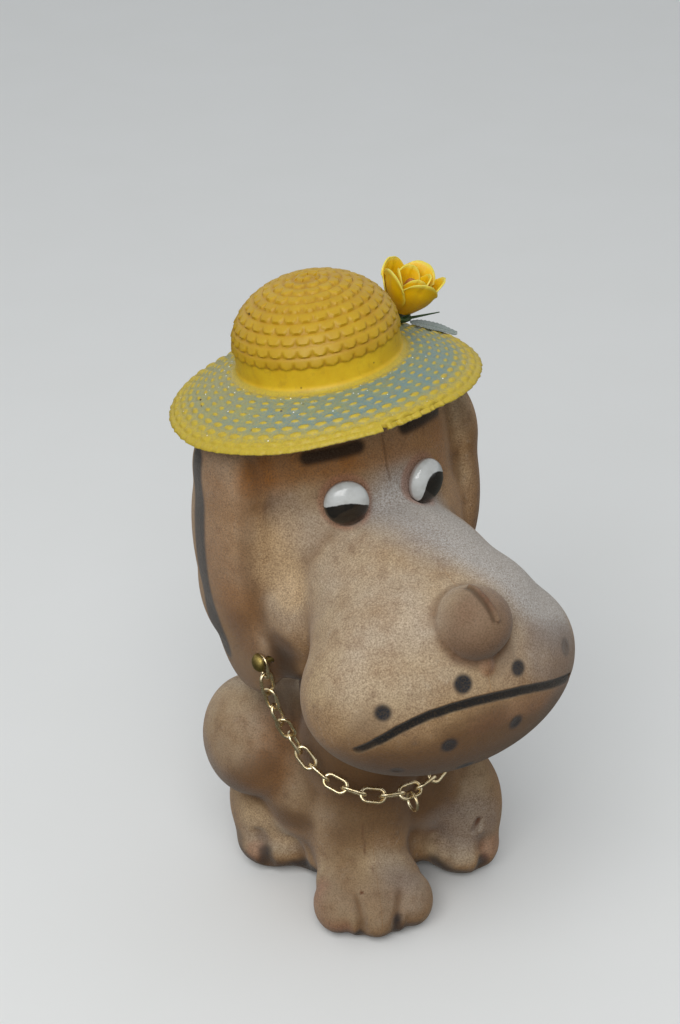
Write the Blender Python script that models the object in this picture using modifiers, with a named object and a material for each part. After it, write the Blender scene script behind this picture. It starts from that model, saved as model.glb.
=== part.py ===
"""A flocked hound money box with a moulded sun hat, a flower and a chain collar.

Metres, +Z up. The dog faces -Y, its left side is +X and it sits on the plane z = 0.
The head turns on the neck, the stopper pulls out of the base, and the chain and its ring swing.
"""

import math

import bmesh
import bpy
from mathutils import Euler, Matrix, Vector

# How far the dog sits behind the middle of the whole model's box, whose muzzle juts out in front
SEAT_BACK = 0.0085

# Walls and running gaps
WALL = 0.0025
SEAT_GAP = 0.0003
SEAM_GAP = 0.0003

# Neck: its axis, its flat rim and the hole through it
NECK_Y = -0.0045
NECK_TOP = 0.0970
NECK_RADIUS = 0.0245
NECK_LUMP_DEPTH = 0.0090
NECK_HALF_HEIGHT = 0.0240
NECK_HOLE_RADIUS = 0.0145
NECK_RIM = 0.0025
THROAT_RADIUS = 0.0190
THROAT_DEPTH = 0.0220
NECK_HOLE_DEPTH = 0.0150

# Chest, flanks, front legs and front paws
CHEST_X = -0.0020
CHEST_Y = -0.0075
CHEST_Z = 0.0640
CHEST_HALF_WIDTH = 0.0225
CHEST_HALF_DEPTH = 0.0190
CHEST_HALF_HEIGHT = 0.0300
FLANK_X = 0.0210
FLANK_Y = 0.0040
FLANK_Z = 0.0420
FLANK_HALF_WIDTH = 0.0160
FLANK_HALF_DEPTH = 0.0180
FLANK_HALF_HEIGHT = 0.0270
LEGS_X = -0.0035
LEGS_Y = -0.0110
LEGS_Z = 0.0320
LEGS_HALF_WIDTH = 0.0185
LEGS_HALF_DEPTH = 0.0130
LEGS_HALF_HEIGHT = 0.0360
PAWS_X = -0.0016
PAWS_Y = -0.0220
PAWS_HALF_WIDTH = 0.0200
PAWS_HALF_LENGTH = 0.0160
PAWS_HEIGHT = 0.0250
TOES_X = -0.0010
TOE_WIDTH = 0.0176
TOE_LENGTH = 0.0230
TOE_HEIGHT = 0.0190
TOE_REACH = 0.0340
TOE_PITCH = 0.0130
TOE_SETBACK = 0.0042

# Back, rump and hind legs; the left hind foot stands further forward
BACK_Y = 0.0120
BACK_Z = 0.0590
BACK_HALF_WIDTH = 0.0260
BACK_HALF_DEPTH = 0.0240
BACK_HALF_HEIGHT = 0.0340
RUMP_Y = 0.0240
RUMP_Z = 0.0410
RUMP_HALF_WIDTH = 0.0380
RUMP_HALF_DEPTH = 0.0270
RUMP_HALF_HEIGHT = 0.0410
SEAT_Y = 0.0180
SEAT_Z = 0.0130
SEAT_HALF_WIDTH = 0.0370
SEAT_HALF_DEPTH = 0.0320
SEAT_HALF_HEIGHT = 0.0200
HAUNCH_X = 0.0390
HAUNCH_Y = 0.0120
HAUNCH_Z = 0.0570
HAUNCH_HALF_WIDTH = 0.0190
HAUNCH_HALF_LENGTH = 0.0240
HAUNCH_HALF_HEIGHT = 0.0220
SHIN_X = 0.0345
SHIN_Y = 0.0180
SHIN_Z = 0.0230
SHIN_HALF_WIDTH = 0.0140
SHIN_HALF_LENGTH = 0.0180
SHIN_HALF_HEIGHT = 0.0230
FOOT_X = 0.0320
FOOT_Y = 0.0110
FOOT_HALF_WIDTH = 0.0150
FOOT_HALF_LENGTH = 0.0140
FOOT_HEIGHT = 0.0200
BASE_SINK = 0.0006
LEFT_STEP_FORWARD = 0.0135
LEFT_STEP_OUT = 0.0045
LEFT_HAUNCH_TUCK = 0.0085
LEFT_HAUNCH_DROP = 0.0068

# Coin slot across the back, and the stopper in the base
SLOT_LENGTH = 0.0360
SLOT_HEIGHT = 0.0050
SLOT_Z = 0.0700
SLOT_FRONT = 0.0140
SLOT_BACK = 0.0800
FLOOR = 0.0045
STOPPER_Y = 0.0180
STOPPER_RADIUS = 0.0145
STOPPER_LIP = 0.0025
STOPPER_LIP_THICKNESS = 0.0014
STOPPER_DEPTH = 0.0085
STOPPER_HOLLOW = 0.0030
STOPPER_RIM = 0.0020
STOPPER_BEVEL = 0.0010
STOPPER_TAPER = 0.0015
STOPPER_RECESS = 0.0020
STOPPER_FIT = 0.0003

# Head, with its heights above the neck's rim
HEAD_TURN = math.radians(22.0)
CRANIUM_Y = 0.0220
CRANIUM_Z = 0.0670
CRANIUM_HALF_WIDTH = 0.0410
CRANIUM_HALF_DEPTH = 0.0340
CRANIUM_HALF_HEIGHT = 0.0510
FACE_Y = 0.0130
FACE_Z = 0.0460
FACE_HALF_WIDTH = 0.0425
FACE_HALF_DEPTH = 0.0300
FACE_HALF_HEIGHT = 0.0420
JAW_Y = 0.0070
JAW_Z = 0.0120
JAW_HALF_WIDTH = 0.0310
JAW_HALF_DEPTH = 0.0280
JAW_HALF_HEIGHT = 0.0115
CHEEK_X = 0.0230
CHEEK_Y = -0.0010
CHEEK_Z = 0.0310
CHEEK_HALF_WIDTH = 0.0170
CHEEK_HALF_DEPTH = 0.0210
CHEEK_HALF_HEIGHT = 0.0215
BRIDGE_Y = -0.0260
BRIDGE_Z = 0.0400
BRIDGE_HALF_WIDTH = 0.0340
BRIDGE_HALF_LENGTH = 0.0420
BRIDGE_HALF_HEIGHT = 0.0280
BRIDGE_SLOPE = math.radians(14.0)
MUZZLE_Y = -0.0465
MUZZLE_Z = 0.0224
MUZZLE_HALF_WIDTH = 0.0500
MUZZLE_HALF_DEPTH = 0.0320
MUZZLE_HALF_HEIGHT = 0.0330
SNOUT_Y = -0.0395
SNOUT_Z = 0.0340
SNOUT_HALF_WIDTH = 0.0410
SNOUT_HALF_DEPTH = 0.0340
SNOUT_HALF_HEIGHT = 0.0290
NOSE_Y = -0.0650
NOSE_Z = 0.0520
NOSE_RADIUS = 0.0125
NOSE_HALF_HEIGHT = 0.0118
NUB_RADIUS = 0.0026
NUB_SETBACK = 0.0070
EAR_X = 0.0420
EAR_Y = 0.0210
EAR_THICKNESS = 0.0185
EAR_TOP_Z = 0.0740
EAR_TOP_HALF_WIDTH = 0.0195
EAR_TOP_HALF_HEIGHT = 0.0190
EAR_MIDDLE_Z = 0.0510
EAR_HALF_WIDTH = 0.0225
EAR_HALF_HEIGHT = 0.0360
LOBE_X = 0.0360
LOBE_Y = 0.0190
LOBE_Z = 0.0180
LOBE_THICKNESS = 0.0160
LOBE_HALF_WIDTH = 0.0235
LOBE_HALF_HEIGHT = 0.0290

# Neck joint: the head's collar over the rim, its spigot through it and a flange below
COLLAR_RADIUS = 0.0195
COLLAR_HEIGHT = 0.0120
BORE_REACH = 0.0120
FLANGE_RADIUS = 0.0170
FLANGE_THICKNESS = 0.0024
SPIGOT_BORE = 0.0110
NECK_FIT = 0.0003

# Eyes: domes on round shanks
EYE_X = 0.0149
EYE_Y = -0.0105
EYE_Z = 0.0730
EYE_RADIUS = 0.0083
EYE_DOME = 0.0056
EYE_EDGE = 0.0012
EYE_SHANK_RADIUS = 0.0030
EYE_SHANK_LENGTH = 0.0040
EYE_FIT = 0.0003
EYE_SEAT_REACH = 0.0200
SOCKET_REACH = 0.0010
EYE_STEPS = 5
EYE_TURN = math.radians(18.0)
EYE_TILT = math.radians(5.0)

# Ear studs
STUD_Y = -0.0015
STUD_Z = 0.0140
STUD_HEAD_RADIUS = 0.0033
STUD_HEAD_HEIGHT = 0.0024
STUD_HEAD_EDGE = 0.0004
STUD_STEPS = 4
STUD_SHANK_RADIUS = 0.0010
STUD_SHANK_DEPTH = 0.0060
STUD_FIT = 0.0003
STUD_HOLE_REACH = 0.0040

# Chain of oval links, and the ring on its middle link
WIRE = 0.0013
LINK_LENGTH = 0.0098
LINK_WIDTH = 0.0060
LINK_GAP = 0.0003
LINKS_PER_SIDE = 12
CHAIN_PLANE_X = 0.0420
CHAIN_RADIUS = 0.0300
LINK_LEAN = math.radians(45.0)
LEAN_IN_BY = 1.0 / 3.0
SHORTEST_DROP = 0.0300
LONGEST_DROP = 0.0800
RING_RADIUS = 0.0034
RING_WIRE = 0.0011

# The chain's route round the neck, from the stud to the front. Each row is a heading from straight
# ahead in degrees, a distance beyond CHAIN_RADIUS, and the share of the whole drop reached there
CHAIN_ROUTE = (
    (88.0, 0.0120, 0.0),
    (86.0, 0.0090, 0.36),
    (80.0, 0.0022, 0.69),
    (66.0, 0.0002, 0.85),
    (42.0, 0.0, 0.945),
    (20.0, 0.0, 0.99),
    (0.0, 0.0, 1.0),
)

# Hat: a moulded crown and brim in one piece, set back and rolled to the dog's right
HAT_X = -0.0062
HAT_Y = 0.0218
HAT_TIP_BACK = math.radians(7.1)
HAT_ROLL = math.radians(6.1)
HAT_WALL = 0.0014
CROWN_RADIUS = 0.0280
CROWN_HEIGHT = 0.0290
CROWN_BAND = 0.0080
BRIM_RADIUS = 0.0530
BRIM_DROP = 0.0110
BRIM_CURL = 0.45
BRIM_FILLET = 0.0015
BRIM_LIFT = 0.0044
BRIM_LIFT_HEADING = math.radians(-94.0)
NOTCH_HEADING = math.radians(-97.0)
NOTCH_WIDTH = 0.0030
NOTCH_DEPTH = 0.0022

# Flower on the brim: where it stands, how it leans, and its petals
FLOWER_HEADING = math.radians(18.0)
FLOWER_INSET = 0.0138
FLOWER_LEAN_HEADING = math.radians(-38.0)
FLOWER_LEAN = math.radians(20.0)
PETAL_WALL = 0.0008
OUTER_PETALS = 5
INNER_PETALS = 4
OUTER_CUP_FOOT = 0.0030
OUTER_CUP_RADIUS = 0.0112
OUTER_CUP_LENGTH = 0.0185
OUTER_CUP_DIP = 0.30
OUTER_CUP_FLARE = 0.0016
INNER_CUP_FOOT = 0.0022
INNER_CUP_RADIUS = 0.0072
INNER_CUP_LENGTH = 0.0160
INNER_CUP_DIP = 0.24
INNER_CUP_FLARE = 0.0004
INNER_CUP_LIFT = 0.0014
INNER_CUP_TURN = 0.5
BUD_RADIUS = 0.0026
BUD_LENGTH = 0.0110
CALYX_STAND = 0.0010
CALYX_HEIGHT = 0.0026
CALYX_TOP_RADIUS = 0.0042
CALYX_FOOT_RADIUS = 0.0018
STEM_RADIUS = 0.0009
STEM_DEPTH = 0.0040
STEM_FIT = 0.0003
SPIKE_LENGTH = 0.0125
SPIKE_RADIUS = 0.0006
SPIKE_RISE = math.radians(32.0)
LEAF_HEADING = math.radians(-34.0)
LEAF_START = 0.0045
LEAF_LENGTH = 0.0155
LEAF_WIDTH = 0.0085
LEAF_THICKNESS = 0.0008
LEAF_TIP_SHARE = 0.12

# Facets
VOXEL = 0.0016
BLEND_STEPS = 26
FINE_STEPS = 3
BODY_SKIN_RATIO = 0.034
HEAD_SKIN_RATIO = 0.028
CAVITY_RATIO = 0.012
LUMP_SEGMENTS = 40
LUMP_RINGS = 24
ROUND_STEPS = 28
HAT_STEPS = 32
SMALL_STEPS = 20
ROUTE_STEPS = 600
TINY_STEPS = 12
EDGE_STEPS = 8
FACET_SAG = 0.0002
MERGE = 0.00001

# Half of a cutting block that reaches past the whole model
FAR = 0.2

# Half the width of the blocks that trim the body's cavity and skin
TRIM = 0.1

# How far a round cutter reaches past the face that it cuts through
CUT_PAST = 0.01

for leftover in list(bpy.data.objects):
    bpy.data.objects.remove(leftover, do_unlink=True)


def new_collection(name):
    """A collection linked to the scene."""
    collection = bpy.data.collections.new(name)
    bpy.context.scene.collection.children.link(collection)
    return collection


PARTS = new_collection("dog_money_box")
CUTTERS = new_collection("cutters")
GROUND = bpy.data.objects.new("ground_centre", None)
PARTS.objects.link(GROUND)
GROUND.location = (0.0, SEAT_BACK, 0.0)


def new_material(name, colour, roughness, metallic=0.0):
    """A Principled material of one plain colour."""
    material = bpy.data.materials.new(name)
    material.use_nodes = True
    shader = material.node_tree.nodes["Principled BSDF"]
    shader.inputs["Base Color"].default_value = (*colour, 1.0)
    shader.inputs["Roughness"].default_value = roughness
    shader.inputs["Metallic"].default_value = metallic
    return material


def add_part(name, mesh, colour, roughness, metallic=0.0, parent=None):
    """An object of the model, with its own material."""
    part = bpy.data.objects.new(name, mesh)
    PARTS.objects.link(part)
    part.parent = parent or GROUND
    part.data.materials.clear()
    part.data.materials.append(new_material(name, colour, roughness, metallic))
    return part


def add_cutter(name, mesh, parent=None):
    """A shape that is only cut with: not rendered, drawn as wire."""
    cutter = bpy.data.objects.new(name, mesh)
    CUTTERS.objects.link(cutter)
    cutter.parent = parent or GROUND
    cutter.hide_render = True
    cutter.display_type = "WIRE"
    return cutter


def add_empty(name, location, turn=0.0, parent=None):
    """An empty on a joint's axis, which its moving pieces hang from."""
    empty = bpy.data.objects.new(name, None)
    PARTS.objects.link(empty)
    empty.parent = parent or GROUND
    empty.location = location
    empty.rotation_euler = (0.0, 0.0, turn)
    return empty


def cut(part, cutter, operation="DIFFERENCE"):
    """A live Boolean on a part."""
    boolean = part.modifiers.new(cutter.name, "BOOLEAN")
    boolean.operation = operation
    boolean.object = cutter
    boolean.solver = "EXACT"


def evaluated_mesh(part):
    """The mesh that a part's modifiers make, as a mesh of its own."""
    bpy.context.view_layer.update()
    depsgraph = bpy.context.evaluated_depsgraph_get()
    return bpy.data.meshes.new_from_object(part.evaluated_get(depsgraph), depsgraph=depsgraph)


def mesh_from(bm, name):
    """A mesh from a bmesh, with its faces turned outward."""
    bmesh.ops.recalc_face_normals(bm, faces=bm.faces)
    mesh = bpy.data.meshes.new(name)
    bm.to_mesh(mesh)
    bm.free()
    return mesh


def shade_round(mesh, angle=40.0):
    """Smooth shading that keeps edges sharper than the angle."""
    mesh.shade_smooth()
    mesh.set_sharp_from_angle(angle=math.radians(angle))


def box_mesh(name, low, high):
    """A box from its two corners."""
    low = Vector(low)
    high = Vector(high)
    bm = bmesh.new()
    matrix = Matrix.LocRotScale((low + high) / 2, None, high - low)
    bmesh.ops.create_cube(bm, size=1.0, matrix=matrix)
    return mesh_from(bm, name)


def slab_mesh(name, low, high):
    """A level block from one height to another, wider than the whole body."""
    return box_mesh(name, (-TRIM, -TRIM, low), (TRIM, TRIM, high))


def rod_mesh(name, radius, low, high, steps=SMALL_STEPS):
    """A round rod along Z from one height to another."""
    bm = bmesh.new()
    middle = Matrix.Translation((0.0, 0.0, (low + high) / 2))
    bmesh.ops.create_cone(
        bm, cap_ends=True, segments=steps, radius1=radius, radius2=radius, depth=high - low, matrix=middle
    )
    return mesh_from(bm, name)


def turned_mesh(name, profile, steps):
    """A solid turned about Z from a profile of (radius, height), listed from the top down its outer side."""
    bm = bmesh.new()
    corners = [bm.verts.new((radius, 0.0, height)) for radius, height in profile]
    for first, second in zip(corners, corners[1:]):
        bm.edges.new((first, second))
    if profile[0][0] > 0.0:
        bm.edges.new((corners[-1], corners[0]))
    mesh = bpy.data.meshes.new(name)
    bm.to_mesh(mesh)
    bm.free()
    holder = bpy.data.objects.new(name, mesh)
    PARTS.objects.link(holder)
    screw = holder.modifiers.new("Screw", "SCREW")
    screw.steps = steps
    screw.render_steps = steps
    screw.use_merge_vertices = True
    screw.merge_threshold = MERGE
    turned = evaluated_mesh(holder)
    bpy.data.objects.remove(holder, do_unlink=True)
    bm = bmesh.new()
    bm.from_mesh(turned)
    bmesh.ops.remove_doubles(bm, verts=bm.verts, dist=MERGE)
    return mesh_from(bm, name)


def lump(centre, radii, turn=(0.0, 0.0, 0.0), hollow=True, fine=False):
    """One rounded lump of a moulding. The cavity follows a hollow lump; a fine one keeps its creases."""
    return {
        "centre": Vector(centre),
        "radii": Vector(radii),
        "turn": Euler(turn),
        "hollow": hollow,
        "fine": fine,
    }


def mirrored(shape):
    """The same lump on the other side of the mid plane."""
    centre = shape["centre"]
    turn = shape["turn"]
    flipped = (turn.x, -turn.y, -turn.z)
    return lump((-centre.x, centre.y, centre.z), shape["radii"], flipped, shape["hollow"], shape["fine"])


def add_lumps(bm, lumps, shrink):
    """Each lump as a stretched sphere, smaller by the wall where the skin is a cavity's."""
    for shape in lumps:
        radii = shape["radii"] - Vector((shrink, shrink, shrink))
        matrix = Matrix.LocRotScale(shape["centre"], shape["turn"], radii)
        bmesh.ops.create_uvsphere(
            bm, u_segments=LUMP_SEGMENTS, v_segments=LUMP_RINGS, radius=1.0, matrix=matrix
        )


def remeshed(name, bm, smooth_steps, ratio=1.0):
    """One even skin round everything in the bmesh, smoothed, and thinned where the ratio is under one."""
    holder = bpy.data.objects.new(name, mesh_from(bm, name))
    PARTS.objects.link(holder)
    remesh = holder.modifiers.new("Remesh", "REMESH")
    remesh.mode = "VOXEL"
    remesh.voxel_size = VOXEL
    smooth = holder.modifiers.new("Smooth", "SMOOTH")
    smooth.iterations = smooth_steps
    if ratio < 1.0:
        decimate = holder.modifiers.new("Decimate", "DECIMATE")
        decimate.ratio = ratio
    skin = evaluated_mesh(holder)
    bpy.data.objects.remove(holder, do_unlink=True)
    skin.name = name
    return skin


def skin_mesh(name, lumps, shrink, ratio):
    """One closed skin round all the lumps: the main ones blended first, then the fine ones joined on."""
    bm = bmesh.new()
    add_lumps(bm, [shape for shape in lumps if not shape["fine"]], shrink)
    blended = remeshed(name + "_blend", bm, BLEND_STEPS)
    bm = bmesh.new()
    bm.from_mesh(blended)
    add_lumps(bm, [shape for shape in lumps if shape["fine"]], shrink)
    return remeshed(name, bm, FINE_STEPS, ratio)


def foot_height(height):
    """The middle of a lump that stands on the base plane and sinks a little into it."""
    return height / 2 - BASE_SINK


def trunk_lumps():
    """The trunk: neck, chest, flanks, front legs, back, rump and seat."""
    lumps = [
        lump((0.0, NECK_Y, NECK_TOP - NECK_LUMP_DEPTH), (NECK_RADIUS, NECK_RADIUS, NECK_HALF_HEIGHT)),
        lump((CHEST_X, CHEST_Y, CHEST_Z), (CHEST_HALF_WIDTH, CHEST_HALF_DEPTH, CHEST_HALF_HEIGHT)),
        lump((LEGS_X, LEGS_Y, LEGS_Z), (LEGS_HALF_WIDTH, LEGS_HALF_DEPTH, LEGS_HALF_HEIGHT)),
        lump((0.0, BACK_Y, BACK_Z), (BACK_HALF_WIDTH, BACK_HALF_DEPTH, BACK_HALF_HEIGHT)),
        lump((0.0, RUMP_Y, RUMP_Z), (RUMP_HALF_WIDTH, RUMP_HALF_DEPTH, RUMP_HALF_HEIGHT)),
        lump((0.0, SEAT_Y, SEAT_Z), (SEAT_HALF_WIDTH, SEAT_HALF_DEPTH, SEAT_HALF_HEIGHT)),
    ]
    flank = lump((FLANK_X, FLANK_Y, FLANK_Z), (FLANK_HALF_WIDTH, FLANK_HALF_DEPTH, FLANK_HALF_HEIGHT))
    return lumps + [flank, mirrored(flank)]


def front_paw_lumps():
    """The two front paws, pressed together, with three toe lobes in front."""
    paws = (PAWS_X, PAWS_Y, foot_height(PAWS_HEIGHT))
    lumps = [lump(paws, (PAWS_HALF_WIDTH, PAWS_HALF_LENGTH, PAWS_HEIGHT / 2))]
    for place in (-1.0, 0.0, 1.0):
        centre = (
            TOES_X + TOE_PITCH * place,
            -TOE_REACH + TOE_SETBACK * abs(place),
            foot_height(TOE_HEIGHT),
        )
        lumps.append(lump(centre, (TOE_WIDTH / 2, TOE_LENGTH / 2, TOE_HEIGHT / 2), hollow=False, fine=True))
    return lumps


def hind_leg_lumps():
    """The hind legs, each a haunch, a shin and a foot."""
    lumps = []
    for side in (-1.0, 1.0):
        forward = LEFT_STEP_FORWARD if side > 0.0 else 0.0
        out = LEFT_STEP_OUT if side > 0.0 else 0.0
        tuck = LEFT_HAUNCH_TUCK if side > 0.0 else 0.0
        drop = LEFT_HAUNCH_DROP if side > 0.0 else 0.0
        haunch = (side * (HAUNCH_X - tuck), HAUNCH_Y + tuck, HAUNCH_Z - drop)
        shin = (side * (SHIN_X + out), SHIN_Y - forward, SHIN_Z)
        foot = (side * (FOOT_X + out), FOOT_Y - forward, foot_height(FOOT_HEIGHT))
        lumps.append(lump(haunch, (HAUNCH_HALF_WIDTH, HAUNCH_HALF_LENGTH, HAUNCH_HALF_HEIGHT)))
        lumps.append(lump(shin, (SHIN_HALF_WIDTH, SHIN_HALF_LENGTH, SHIN_HALF_HEIGHT), hollow=False))
        lumps.append(lump(foot, (FOOT_HALF_WIDTH, FOOT_HALF_LENGTH, FOOT_HEIGHT / 2), hollow=False))
    return lumps


def skull_lumps():
    """The skull: cranium, face, jaw, bridge, snout, muzzle and cheeks."""
    slope = (BRIDGE_SLOPE, 0.0, 0.0)
    cheek = lump((CHEEK_X, CHEEK_Y, CHEEK_Z), (CHEEK_HALF_WIDTH, CHEEK_HALF_DEPTH, CHEEK_HALF_HEIGHT))
    return [
        lump((0.0, CRANIUM_Y, CRANIUM_Z), (CRANIUM_HALF_WIDTH, CRANIUM_HALF_DEPTH, CRANIUM_HALF_HEIGHT)),
        lump((0.0, FACE_Y, FACE_Z), (FACE_HALF_WIDTH, FACE_HALF_DEPTH, FACE_HALF_HEIGHT)),
        lump((0.0, JAW_Y, JAW_Z), (JAW_HALF_WIDTH, JAW_HALF_DEPTH, JAW_HALF_HEIGHT)),
        lump((0.0, BRIDGE_Y, BRIDGE_Z), (BRIDGE_HALF_WIDTH, BRIDGE_HALF_LENGTH, BRIDGE_HALF_HEIGHT), slope),
        lump((0.0, SNOUT_Y, SNOUT_Z), (SNOUT_HALF_WIDTH, SNOUT_HALF_DEPTH, SNOUT_HALF_HEIGHT)),
        lump((0.0, MUZZLE_Y, MUZZLE_Z), (MUZZLE_HALF_WIDTH, MUZZLE_HALF_DEPTH, MUZZLE_HALF_HEIGHT)),
        cheek,
        mirrored(cheek),
    ]


def nose_lumps():
    """The round nose and the small nub of flock below it."""
    nub = (0.0, NOSE_Y - NUB_SETBACK, NOSE_Z - NOSE_HALF_HEIGHT)
    return [
        lump((0.0, NOSE_Y, NOSE_Z), (NOSE_RADIUS, NOSE_RADIUS, NOSE_HALF_HEIGHT), hollow=False, fine=True),
        lump(nub, (NUB_RADIUS, NUB_RADIUS, NUB_RADIUS), hollow=False, fine=True),
    ]


def ear_lumps():
    """One hanging ear: its root, its flat middle and its lobe."""
    slab = EAR_THICKNESS / 2
    return [
        lump((EAR_X, EAR_Y, EAR_TOP_Z), (slab, EAR_TOP_HALF_WIDTH, EAR_TOP_HALF_HEIGHT), hollow=False),
        lump((EAR_X, EAR_Y, EAR_MIDDLE_Z), (slab, EAR_HALF_WIDTH, EAR_HALF_HEIGHT), hollow=False),
        lump((LOBE_X, LOBE_Y, LOBE_Z), (LOBE_THICKNESS / 2, LOBE_HALF_WIDTH, LOBE_HALF_HEIGHT), hollow=False),
    ]


def half_of(name, outer, cavity, side, parent, extra_cutters, colour):
    """One glued half of a hollow moulding: the outer skin less its cavity, cut at the mid plane."""
    part = add_part(name, outer.copy(), colour, 0.95, parent=parent)
    seam = SEAM_GAP / 2
    low = (-FAR, -FAR, -FAR) if side > 0.0 else (-seam, -FAR, -FAR)
    high = (seam, FAR, FAR) if side > 0.0 else (FAR, FAR, FAR)
    beyond = add_cutter(name + "_other_side", box_mesh(name + "_other_side", low, high), parent)
    cut(part, beyond)
    cut(part, cavity)
    for cutter in extra_cutters:
        cut(part, cutter)
    return part


def make_body():
    """The body in two halves, with a flat base, a coin slot, a stopper hole and a round neck hole."""
    lumps = trunk_lumps() + front_paw_lumps() + hind_leg_lumps()
    outer = skin_mesh("body_skin", lumps, 0.0, BODY_SKIN_RATIO)
    inner = skin_mesh("body_cavity", [shape for shape in lumps if shape["hollow"]], WALL, CAVITY_RATIO)
    cavity = add_cutter("body_cavity", inner)
    below_floor = add_cutter("below_floor", slab_mesh("below_floor", -TRIM, FLOOR))
    above_rim = add_cutter("above_rim", slab_mesh("above_rim", NECK_TOP - NECK_RIM, NECK_TOP + TRIM))
    throat_mesh = rod_mesh("throat", THROAT_RADIUS, NECK_TOP - THROAT_DEPTH, NECK_TOP + CUT_PAST, ROUND_STEPS)
    throat = add_cutter("throat", throat_mesh)
    throat.location = (0.0, NECK_Y, 0.0)
    cut(cavity, throat, "UNION")
    cut(cavity, below_floor)
    cut(cavity, above_rim)
    below_base = add_cutter("below_base", slab_mesh("below_base", -TRIM, 0.0))
    above_neck = add_cutter("above_neck", slab_mesh("above_neck", NECK_TOP, NECK_TOP + TRIM))
    hole_low = NECK_TOP - NECK_HOLE_DEPTH
    neck_hole = add_cutter(
        "neck_hole", rod_mesh("neck_hole", NECK_HOLE_RADIUS, hole_low, NECK_TOP + CUT_PAST, ROUND_STEPS)
    )
    neck_hole.location = (0.0, NECK_Y, 0.0)
    slot = add_cutter(
        "slot",
        box_mesh(
            "slot",
            (-SLOT_LENGTH / 2, SLOT_FRONT, SLOT_Z - SLOT_HEIGHT / 2),
            (SLOT_LENGTH / 2, SLOT_BACK, SLOT_Z + SLOT_HEIGHT / 2),
        ),
    )
    hole_radius = STOPPER_RADIUS + STOPPER_FIT
    stopper_hole = add_cutter(
        "stopper_hole", rod_mesh("stopper_hole", hole_radius, -CUT_PAST, FLOOR + CUT_PAST, ROUND_STEPS)
    )
    stopper_hole.location = (0.0, STOPPER_Y, 0.0)
    recess_radius = STOPPER_RADIUS + STOPPER_LIP + STOPPER_FIT
    stopper_recess = add_cutter(
        "stopper_recess", rod_mesh("stopper_recess", recess_radius, -CUT_PAST, STOPPER_RECESS, ROUND_STEPS)
    )
    stopper_recess.location = (0.0, STOPPER_Y, 0.0)
    cutters = [below_base, above_neck, neck_hole, slot, stopper_hole, stopper_recess]
    for name, side in (("body_right_half", -1.0), ("body_left_half", 1.0)):
        half_of(name, outer, cavity, side, None, cutters, (0.50, 0.39, 0.27))


def make_stopper():
    """The rubber plug in the base, with a lip in the recess; it pulls out downward."""
    top = STOPPER_DEPTH
    lip_top = STOPPER_RECESS - STOPPER_FIT
    lip_bottom = lip_top - STOPPER_LIP_THICKNESS
    outer = STOPPER_RADIUS - STOPPER_BEVEL
    inner = outer - STOPPER_RIM
    profile = [
        (0.0, top - STOPPER_HOLLOW),
        (inner, top - STOPPER_HOLLOW),
        (inner, top),
        (outer, top),
        (STOPPER_RADIUS, top - STOPPER_TAPER),
        (STOPPER_RADIUS, lip_top),
        (STOPPER_RADIUS + STOPPER_LIP, lip_top),
        (STOPPER_RADIUS + STOPPER_LIP, lip_bottom),
        (0.0, lip_bottom),
    ]
    mesh = turned_mesh("stopper", profile, ROUND_STEPS)
    shade_round(mesh)
    holder = add_empty("stopper_axis", (0.0, STOPPER_Y, 0.0))
    add_part("base_stopper", mesh, (0.12, 0.11, 0.10), 0.7, parent=holder)


def eye_matrix(side):
    """The seat of an eye: its place on the face, with local +Z facing out of the head."""
    place = Matrix.Translation((side * EYE_X, EYE_Y, EYE_Z))
    turn = Matrix.Rotation(side * EYE_TURN, 4, "Z")
    tilt = Matrix.Rotation(math.radians(90.0) - EYE_TILT, 4, "X")
    return place @ turn @ tilt


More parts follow.
